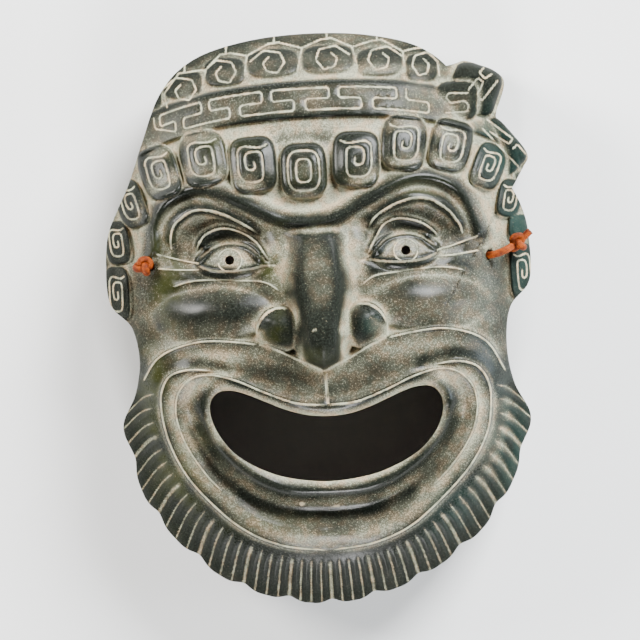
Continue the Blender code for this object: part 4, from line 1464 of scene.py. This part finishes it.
    def cavity(self, x: np.ndarray, y: np.ndarray, size: float) -> np.ndarray:
        """How hollow the face is at each point: its height blurred over a size, less its height.

        The blur is a box mean, taken three times along each axis of a raster, and read between its points.

        Args:
            x: The points' x values.
            y: The points' y values.
            size: The box's half width.

        Returns:
            The hollowness in millimetres.
        """
        across, up, height = self.height_map
        blurred = height
        count = 2 * int(size / self.raster) + 1
        kernel = np.ones(count) / count
        for _ in range(3):
            for axis in (0, 1):
                wide = [(count // 2, count // 2) if axis == k else (0, 0) for k in (0, 1)]
                padded = np.pad(blurred, wide, "edge")
                blurred = np.apply_along_axis(np.convolve, axis, padded, kernel, "valid")
        hollow = blurred - height
        u = np.clip((x - across[0]) / self.raster, 0, len(across) - 1.001)
        v = np.clip((y - up[0]) / self.raster, 0, len(up) - 1.001)
        i, j = u.astype(int), v.astype(int)
        u, v = u - i, v - j
        low = hollow[j, i] * (1 - u) + hollow[j, i + 1] * u
        high = hollow[j + 1, i] * (1 - u) + hollow[j + 1, i + 1] * u
        return low * (1 - v) + high * v

    def dress(self, mesh: bpy.types.Mesh) -> None:
        """Give the mesh its attributes: the drawn lines, the wash, the olive, the teal and where it is matt.
        The lines also hold a painted glint on the nose's tip, the wash painted highlights and painted shade,
        the olive tint partly painted shade on the left, and the teal tint partly a painted cool reflection on
        the right.

        The wash grows where the face is hollow, over a small size and a broad one. Both, and the lines, fade
        out down the steep side, where the plan would smear them.

        Args:
            mesh: The finished mesh.
        """
        points = np.empty(3 * len(mesh.vertices))
        mesh.vertices.foreach_get("co", points)
        x, y, z = points.reshape(-1, 3).T / MM
        wear = self.wear
        # The chips, with the painted glint on the nose's tip, go into the lines' cream.
        line = wear.sum(wear.chips_and_glint, x, y)
        for drawn in (*self.relief.drawing, *self.relief.flute_lines):
            line = np.maximum(line, drawn.wash(x, y))
        face = 1 - step(*wear.side_drop, self.relief.form(x, y) - z)
        line = line * face
        wash = wear.wash(x, y, *self.relief.lean.even(x, y))
        for size, share, low, high in wear.hollows:
            wash = wash + share * face * np.clip(self.cavity(x, y, size), low, high)
        band = np.abs(y - self.relief.crown.band_middle(x))
        wash = wash + wear.on_band * (1 - step(6.0, 9.0, band))
        wash = wash + wear.on_curls * step(0.5, 3.0, self.relief.curls.relief(x, y))
        wash = wash + wear.on_beard_foot * step(*wear.beard_foot, y)
        shell = self.relief.shell
        flank = 1 - step(*wear.flank, (shell.dome(x, y) - shell.foot) / shell.rise)
        values = {
            "line": line, "wash": wash, "matt": np.maximum(flank, wear.sum(wear.matt, x, y)),
            "olive_and_shade": wear.sum(wear.olive_and_shade, x, y), "teal_and_sheen": wear.sum(wear.teal_and_sheen, x, y),
        }
        for name, value in values.items():
            layer = mesh.attributes.new(name, "FLOAT", "POINT")
            layer.data.foreach_set("value", np.clip(value, 0, 1.5).astype(np.float32))


class Sketch:
    """A material's node tree, built a node at a time."""

    def __init__(self, name: str) -> None:
        """Start a material with only its surface shader and output.

        Args:
            name: The material's name.
        """
        self.material = bpy.data.materials.new(name)
        self.material.use_nodes = True
        self.tree = self.material.node_tree
        self.shader = self.tree.nodes["Principled BSDF"]
        self.place = self.node("ShaderNodeTexCoord").outputs["Object"]

    def node(self, kind: str, **settings: object) -> bpy.types.Node:
        """A new node with its settings.

        Args:
            kind: The node's type.
            settings: The node's own properties.

        Returns:
            The node.
        """
        made = self.tree.nodes.new(kind)
        for key, value in settings.items():
            setattr(made, key, value)
        return made

    def join(self, source: object, target: bpy.types.NodeSocket) -> None:
        """Link a socket to an input, or set the input where the source is a plain value.

        Args:
            source: The socket or the value.
            target: The input.
        """
        if isinstance(source, bpy.types.NodeSocket):
            self.tree.links.new(source, target)
        else:
            target.default_value = source

    def noise(self, scale: float, detail: float = 2.0, rough: float = 0.5) -> bpy.types.NodeSocket:
        """A noise pattern on the object's own coordinates.

        Args:
            scale: How many cells of noise go to a metre.
            detail: How many finer octaves it has.
            rough: How strong they are.

        Returns:
            The pattern, from 0 to 1.
        """
        made = self.node("ShaderNodeTexNoise")
        self.join(self.place, made.inputs["Vector"])
        for key, value in (("Scale", scale), ("Detail", detail), ("Roughness", rough)):
            made.inputs[key].default_value = value
        return made.outputs["Fac"]

    def math(self, operation: str, *values: object) -> bpy.types.NodeSocket:
        """A sum, product or the like of two or three values.

        Args:
            operation: The node's operation.
            values: The sockets or plain values.

        Returns:
            The result.
        """
        made = self.node("ShaderNodeMath", operation=operation)
        for value, socket in zip(values, made.inputs):
            self.join(value, socket)
        return made.outputs[0]

    def smooth(
        self, value: object, low: float, high: float, start: float = 0.0, stop: float = 1.0,
    ) -> bpy.types.NodeSocket:
        """A smooth step of a value.

        Args:
            value: The socket or plain value.
            low: Where the step starts.
            high: Where it ends.
            start: The result at low and under it.
            stop: The result at high and over it.

        Returns:
            The result.
        """
        made = self.node("ShaderNodeMapRange", interpolation_type="SMOOTHSTEP")
        for item, socket in zip((value, low, high, start, stop), made.inputs):
            self.join(item, socket)
        return made.outputs["Result"]

    def mix(self, share: object, first: object, second: object) -> bpy.types.NodeSocket:
        """A mix of two colours.

        Args:
            share: How much of the second there is.
            first: The first colour's socket or value.
            second: The second's.

        Returns:
            The mixed colour.
        """
        made = self.node("ShaderNodeMix", data_type="RGBA")
        for item, index in ((share, 0), (first, 6), (second, 7)):
            if isinstance(item, tuple):
                item = (*item, 1.0)
            self.join(item, made.inputs[index])
        return made.outputs[2]

    def attribute(self, name: str) -> bpy.types.NodeSocket:
        """A value from the mesh."""
        return self.node("ShaderNodeAttribute", attribute_name=name).outputs["Fac"]

    def bump(self, height: object, strength: float, distance: float) -> None:
        """Let a height stand up on the surface.

        Args:
            height: The height's socket.
            strength: How much of it shows.
            distance: The height of a whole step, in metres.
        """
        made = self.node("ShaderNodeBump")
        made.inputs["Strength"].default_value = strength
        made.inputs["Distance"].default_value = distance
        self.join(height, made.inputs["Height"])
        self.join(made.outputs["Normal"], self.shader.inputs["Normal"])


@dataclass(frozen=True)
class CeramicGlaze:
    """The dark green-grey glaze, with a cream wash left in its grooves and rubbed over it in specks."""

    dark: tuple[float, float, float] = (0.006, 0.007, 0.005)
    grey: tuple[float, float, float] = (0.016, 0.019, 0.015)
    # The olive tint: partly the glaze's own, partly painted shade on the shaded left side.
    olive_and_shade: tuple[float, float, float] = (0.030, 0.034, 0.005)
    # The teal tint: partly the glaze's own, partly a painted cool reflection on the right side.
    teal_and_sheen: tuple[float, float, float] = (0.009, 0.026, 0.022)
    cream: tuple[float, float, float] = (0.385, 0.380, 0.265)
    peach: tuple[float, float, float] = (0.46, 0.365, 0.23)
    fine_scale: float = 3100.0
    middle_scale: float = 1300.0
    cream_scale: float = 230.0
    worn_scale: float = 260.0
    broad_scale: float = 70.0
    speck_contrast: float = 2.6
    speck_shift: float = -0.95
    speck_limits: tuple[float, float] = (0.66, 1.42)
    speck_cover: float = 0.88
    film_cover: float = 0.36
    most_wash: float = 0.86
    line_limits: tuple[float, float] = (0.15, 0.8)
    line_cover: float = 0.95
    gloss: float = 0.22
    dull: float = 0.5
    matt_rough: float = 0.3
    shine: float = 0.16
    matt_share: float = 0.92
    least_shine: float = 0.012
    grain_strength: float = 0.5
    grain_height: float = 0.00025

    def material(self) -> bpy.types.Material:
        """The glaze's material.

        The cream's cover is the most of three: a thin film that grows with the mesh's own share of wash,
        specks where that share and a fine noise pass a threshold together, and the drawn lines, worn by
        another noise. The wash and the lines also carry some painted highlights and painted shade. Under it
        the glaze goes from dark to grey, and to olive and teal where the mesh says; the olive is partly
        painted shade on the left, and the teal partly a painted cool reflection on the right.
        It is rougher under the cream, and rougher and less reflecting where the mesh says that it is matt.

        Returns:
            The material.
        """
        sketch = Sketch("glazed_ceramic")
        fine, middle = sketch.noise(self.fine_scale, 1), sketch.noise(self.middle_scale, 2)
        broad = sketch.noise(self.broad_scale, 3)
        speck = sketch.math("MULTIPLY_ADD", fine, 0.6, sketch.math("MULTIPLY", middle, 0.4))
        grain = sketch.math("MULTIPLY_ADD", speck, self.speck_contrast, self.speck_shift)
        drift = sketch.math("MULTIPLY_ADD", broad, 0.6, -0.3)
        share = sketch.math("ADD", sketch.attribute("wash"), drift)
        share = sketch.math("MINIMUM", share, self.most_wash)
        specks = sketch.smooth(sketch.math("ADD", share, grain), *self.speck_limits, 0.0, self.speck_cover)
        film = sketch.smooth(share, 0.0, 1.0, 0.0, self.film_cover)
        wash = sketch.math("MAXIMUM", specks, film)
        worn = sketch.smooth(sketch.noise(self.worn_scale, 2), 0.3, 0.6, 0.5, 1.0)
        line = sketch.math("ADD", sketch.attribute("line"), sketch.math("MULTIPLY_ADD", speck, 1.6, -0.8))
        line = sketch.smooth(line, *self.line_limits, 0.0, self.line_cover)
        line = sketch.math("MULTIPLY", line, worn)
        cover = sketch.math("MAXIMUM", wash, line)
        base = sketch.mix(sketch.smooth(middle, 0.3, 0.75), self.dark, self.grey)
        stain = sketch.smooth(broad, 0.3, 0.65)
        # Partly painted light: the olive tint gives the shaded left its olive shade, and the teal tint gives
        # the lit right a cool reflection. Each is also the glaze's own tint.
        base = sketch.mix(sketch.math("MULTIPLY", sketch.attribute("olive_and_shade"), stain), base, self.olive_and_shade)
        base = sketch.mix(sketch.math("MULTIPLY", sketch.attribute("teal_and_sheen"), stain), base, self.teal_and_sheen)
        warm = sketch.smooth(sketch.noise(self.cream_scale, 1), 0.4, 0.65)
        cream = sketch.mix(warm, self.cream, self.peach)
        sketch.join(sketch.mix(cover, base, cream), sketch.shader.inputs["Base Color"])
        rough = sketch.math("MULTIPLY_ADD", middle, 0.2, self.gloss - 0.1)
        rough = sketch.math("ADD", rough, sketch.math("MULTIPLY", cover, self.dull - self.gloss))
        rough = sketch.math("MULTIPLY_ADD", sketch.attribute("matt"), self.matt_rough, rough)
        sketch.join(rough, sketch.shader.inputs["Roughness"])
        height = sketch.math("ADD", sketch.math("MULTIPLY", fine, 0.5), sketch.math("MULTIPLY", cover, 0.35))
        sketch.bump(height, self.grain_strength, self.grain_height)
        matt = sketch.math("MULTIPLY", sketch.attribute("matt"), self.matt_share)
        glossy = sketch.math("SUBTRACT", 1.0, matt)
        shine = sketch.math("MAXIMUM", sketch.math("MULTIPLY", glossy, self.shine), self.least_shine)
        sketch.join(shine, sketch.shader.inputs["Specular IOR Level"])
        return sketch.material


@dataclass(frozen=True)
class InnerClay:
    """The hollow's unglazed side: dark red-brown clay, with the marks of the fingers that pressed it."""

    clay: tuple[float, float, float] = (0.050, 0.009, 0.007)
    dust: tuple[float, float, float] = (0.065, 0.030, 0.022)
    rough: float = 0.72

    def material(self) -> bpy.types.Material:
        """The clay's material: two browns by a noise, with a fine grain.

        Returns:
            The material.
        """
        sketch = Sketch("inner_clay")
        press, grain = sketch.noise(90, 3), sketch.noise(900, 3)
        colour = sketch.mix(sketch.smooth(press, 0.4, 0.75), self.clay, self.dust)
        sketch.join(colour, sketch.shader.inputs["Base Color"])
        rough = sketch.math("MULTIPLY_ADD", grain, 0.2, self.rough - 0.1)
        sketch.join(rough, sketch.shader.inputs["Roughness"])
        sketch.bump(sketch.math("MULTIPLY_ADD", grain, 0.3, press), 0.5, 0.0008)
        return sketch.material


@dataclass(frozen=True)
class TannedLeather:
    """The thong's orange-brown leather, darker in its creases."""

    tan: tuple[float, float, float] = (0.36, 0.065, 0.001)
    crease: tuple[float, float, float] = (0.10, 0.014, 0.001)
    rough: float = 0.55
    shine: float = 0.15

    def material(self) -> bpy.types.Material:
        """The leather's material: a grain of small cells, with darker pores and a soft sheen.

        Returns:
            The material.
        """
        sketch = Sketch("tanned_leather")
        cells = sketch.node("ShaderNodeTexVoronoi", feature="DISTANCE_TO_EDGE")
        sketch.join(sketch.place, cells.inputs["Vector"])
        cells.inputs["Scale"].default_value = 1900.0
        stain, grain = sketch.noise(330, 3), sketch.noise(2400, 2)
        edge = sketch.smooth(cells.outputs["Distance"], 0.0, 0.16)
        share = sketch.math("MULTIPLY", edge, sketch.smooth(stain, 0.36, 0.64))
        sketch.join(sketch.mix(share, self.crease, self.tan), sketch.shader.inputs["Base Color"])
        rough = sketch.math("MULTIPLY_ADD", grain, 0.25, self.rough - 0.12)
        sketch.join(rough, sketch.shader.inputs["Roughness"])
        sketch.bump(sketch.math("MULTIPLY_ADD", grain, 0.3, edge), 0.6, 0.0002)
        sketch.shader.inputs["Specular IOR Level"].default_value = self.shine
        return sketch.material


@dataclass(frozen=True)
class PaleFloor:
    """The plain pale floor's paint."""

    white: tuple[float, float, float] = (0.87, 0.87, 0.865)

    def material(self) -> bpy.types.Material:
        """The paint's material: nearly even, with a faint drift.

        Returns:
            The material.
        """
        sketch = Sketch("pale_floor")
        paler = tuple(0.98 * value for value in self.white)
        colour = sketch.mix(sketch.noise(3.0, 2), self.white, paler)
        sketch.join(colour, sketch.shader.inputs["Base Color"])
        sketch.shader.inputs["Roughness"].default_value = 0.85
        return sketch.material


@dataclass
class Thong:
    """The leather thong: through both temples and slack behind the face, with a knot outside each."""

    diameter: float = 3.0
    length: float = 224.0
    route: Line = (
        (-70.7, 26.4, 45.6), (-67.9, 26.2, 42.0), (-64.6, 25.4, 37.2), (-61.5, 23.0, 27.0),
        (-59.0, 17.0, 14.0), (-52.0, 7.0, 4.2), (-38.0, -1.0, 1.8), (-20.0, -7.0, 1.8), (-2.0, -4.0, 1.8),
        (14.0, 7.0, 1.8), (30.0, 15.0, 1.8), (44.0, 13.0, 2.2), (55.0, 12.0, 8.0), (60.5, 15.0, 20.0),
        (62.8, 19.0, 30.0), (66.6, 22.1, 37.6), (69.6, 22.6, 41.4), (72.4, 22.9, 44.8), (75.2, 23.4, 47.2),
        (78.6, 24.6, 47.2), (81.4, 26.0, 44.3),
    )
    knot_reach: float = 3.8
    knot_size: tuple[float, float, float] = (0.98, 1.16, 1.5)
    tail_way: tuple[float, float, float] = (0.72, 0.62, 0.1)
    tail_length: float = 7.4

    def tube(
        self, name: str, points: np.ndarray, leather: bpy.types.Material, closed: bool,
    ) -> bpy.types.Object:
        """A round tube along some points, with closed ends.

        Args:
            name: The object's name.
            points: The points of its middle line, in millimetres.
            leather: Its material.
            closed: Whether it runs back to its first point.

        Returns:
            The tube, as a curve.
        """
        curve = bpy.data.curves.new(name, "CURVE")
        curve.dimensions = "3D"
        curve.bevel_depth = self.diameter / 2 * MM
        curve.bevel_resolution = 4
        curve.use_fill_caps = True
        spline = curve.splines.new("POLY")
        spline.points.add(len(points) - 1)
        spline.points.foreach_set("co", np.column_stack([points * MM, np.ones(len(points))]).ravel())
        spline.use_cyclic_u = closed
        curve.materials.append(leather)
        made = bpy.data.objects.new(name, curve)
        bpy.context.scene.collection.objects.link(made)
        return made

    def knot(self, name: str, end: int, leather: bpy.types.Material) -> bpy.types.Object:
        """An overhand knot beyond one end of the route: a closed trefoil, and on the right a short tail.

        The trefoil goes round its axis twice and through its middle three times. Its plan is the sine of the
        turn and twice that of the double turn, and the cosine of the turn less twice that of the double turn.
        Its height is less the sine of three times the turn.

        Args:
            name: The object's name.
            end: The route's end that it is on, 0 for the left one and -1 for the right one.
            leather: Its material.

        Returns:
            The knot.
        """
        route = np.array(self.route)
        way = Vector(route[0] - route[1]) if end == 0 else Vector(route[-1] - route[-2])
        way.normalize()
        middle = Vector(route[end]) + way * self.knot_reach
        t = np.linspace(0, 2 * math.pi, 72, endpoint=False)
        across, up = np.sin(t) + 2 * np.sin(2 * t), np.cos(t) - 2 * np.cos(2 * t)
        shape = np.column_stack([across, up, -np.sin(3 * t)]) * self.knot_size
        turn = np.array(way.to_track_quat("Z", "Y").to_matrix())
        loops = [self.tube(name, shape @ turn.T + np.array(middle), leather, closed=True)]
        if end != 0:
            along = np.linspace(0, self.tail_length, 8)[:, None]
            tail = np.array(middle) + along * Vector(self.tail_way).normalized()
            loops.append(self.tube(name + "_tail", tail, leather, closed=False))
        return self.merged(name, loops)

    def merged(self, name: str, tubes: list[bpy.types.Object]) -> bpy.types.Object:
        """Some tubes as one mesh object, with their doubled points merged.

        Args:
            name: The object's name.
            tubes: The tubes, which are removed.

        Returns:
            The object.
        """
        bm = bmesh.new()
        graph = bpy.context.evaluated_depsgraph_get()
        for tube in tubes:
            part = bpy.data.meshes.new_from_object(tube.evaluated_get(graph))
            bm.from_mesh(part)
        bmesh.ops.remove_doubles(bm, verts=bm.verts, dist=0.02 * MM)
        mesh = bpy.data.meshes.new(name)
        bm.to_mesh(mesh)
        bm.free()
        mesh.materials.append(tubes[0].data.materials[0])
        for tube in tubes:
            bpy.data.objects.remove(tube, do_unlink=True)
        mesh.shade_smooth()
        made = bpy.data.objects.new(name, mesh)
        bpy.context.scene.collection.objects.link(made)
        return made

    def build(self, leather: bpy.types.Material) -> list[bpy.types.Object]:
        """The thong and its two knots, each attached to the root in place of the model's own piece.

        Args:
            leather: Their material.

        Returns:
            The three pieces.
        """
        thong = self.tube("leather_thong", smooth_curve(self.route, pace=1.2), leather, closed=False)
        knots = [self.knot("thong_knot_left", 0, leather), self.knot("thong_knot_right", -1, leather)]
        for piece, node in zip((thong, *knots), ("thong", "knot_left", "knot_right")):
            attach(piece, "root")
            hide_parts(node)
        return [thong, *knots]


@dataclass(frozen=True)
class SoftBox:
    """A square soft light: its place and width in metres, its power in watts and its colour."""

    name: str
    place: tuple[float, float, float]
    width: float
    power: float
    colour: tuple[float, float, float]


@dataclass
class Studio:
    """The camera straight above the mask, the pale floor and the soft lights round it."""

    photo_width: int = 640
    scale: float = 0.42
    middle: tuple[float, float] = (-0.6, -0.2)
    roll: float = 3.3
    camera_height: float = 4.53
    focus_height: float = 0.03
    sensor: float = 36.0
    floor_half: float = 3.0
    sky: tuple[float, float, float] = (0.95, 0.97, 1.0)
    sky_strength: float = 0.06
    boxes: tuple[SoftBox, ...] = (
        SoftBox("key", (1.1, 1.5, 1.1), 1.0, 205.0, (0.97, 0.99, 1.0)),
        SoftBox("fill", (-1.7, 1.0, 0.85), 0.8, 105.0, (1.0, 0.98, 0.94)),
        SoftBox("front", (0.1, -1.9, 0.75), 0.6, 84.0, (1.0, 1.0, 1.0)),
        SoftBox("rim", (1.5, -0.2, 0.5), 0.5, 18.0, (0.78, 0.90, 1.0)),
    )

    def camera(self) -> None:
        """The camera: its frame spans the photograph's width at the scale of the face's middle height."""
        data = bpy.data.cameras.new("camera")
        distance = self.camera_height - self.focus_height
        data.sensor_width = self.sensor
        data.lens = self.sensor * distance / (self.photo_width * self.scale * MM)
        made = bpy.data.objects.new("camera", data)
        made.location = (self.middle[0] * MM, self.middle[1] * MM, self.camera_height)
        made.rotation_euler = (0, 0, math.radians(-self.roll))
        bpy.context.scene.collection.objects.link(made)
        bpy.context.scene.camera = made

    def floor(self) -> None:
        """The pale floor, on the plane that the rim rests on."""
        half = self.floor_half
        corners = [(-half, -half, 0), (half, -half, 0), (half, half, 0), (-half, half, 0)]
        mesh = bpy.data.meshes.new("floor")
        mesh.from_pydata(corners, [], [(0, 1, 2, 3)])
        mesh.materials.append(PaleFloor().material())
        made = bpy.data.objects.new("floor", mesh)
        bpy.context.scene.collection.objects.link(made)
        made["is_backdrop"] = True

    def lights(self) -> None:
        """The soft lights, each turned to the mask, and a weak even sky."""
        for box in self.boxes:
            data = bpy.data.lights.new(box.name, "AREA")
            data.shape, data.size, data.energy, data.color = "SQUARE", box.width, box.power, box.colour
            made = bpy.data.objects.new(box.name, data)
            made.location = box.place
            made.rotation_euler = (-Vector(box.place)).to_track_quat("-Z", "Y").to_euler()
            bpy.context.scene.collection.objects.link(made)
        world = bpy.data.worlds.new("sky")
        world.use_nodes = True
        backdrop = world.node_tree.nodes["Background"]
        backdrop.inputs["Color"].default_value = (*self.sky, 1.0)
        backdrop.inputs["Strength"].default_value = self.sky_strength
        bpy.context.scene.world = world


def main() -> None:
    """Build the studio, the thong and the mask, and report each piece."""
    logging.basicConfig(level=logging.INFO, format="%(message)s")
    studio = Studio()
    studio.camera()
    studio.floor()
    studio.lights()
    pieces = Thong().build(TannedLeather().material())
    relief = Relief(
        Shell(), HandLean(), Nose(), Eyes(), FaceRolls(), Curls(), Crown(), Bow(), Beard(),
    )
    relief.prepare()
    body = MaskBody(relief, GlazeWear(relief.rolls, relief.eyes, relief.shell))
    pieces.append(body.build((CeramicGlaze().material(), InnerClay().material())))
    for piece in pieces:
        log.info("%s: %s", piece.name, ", ".join(slot.name for slot in piece.data.materials))
    boxes = {"cad": cad_box, "visual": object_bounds()}
    boxes = {name: [[float(v) for v in corner] for corner in box] for name, box in boxes.items()}
    log.info("boxes: %s", boxes)


if __name__ == "__main__":
    main()
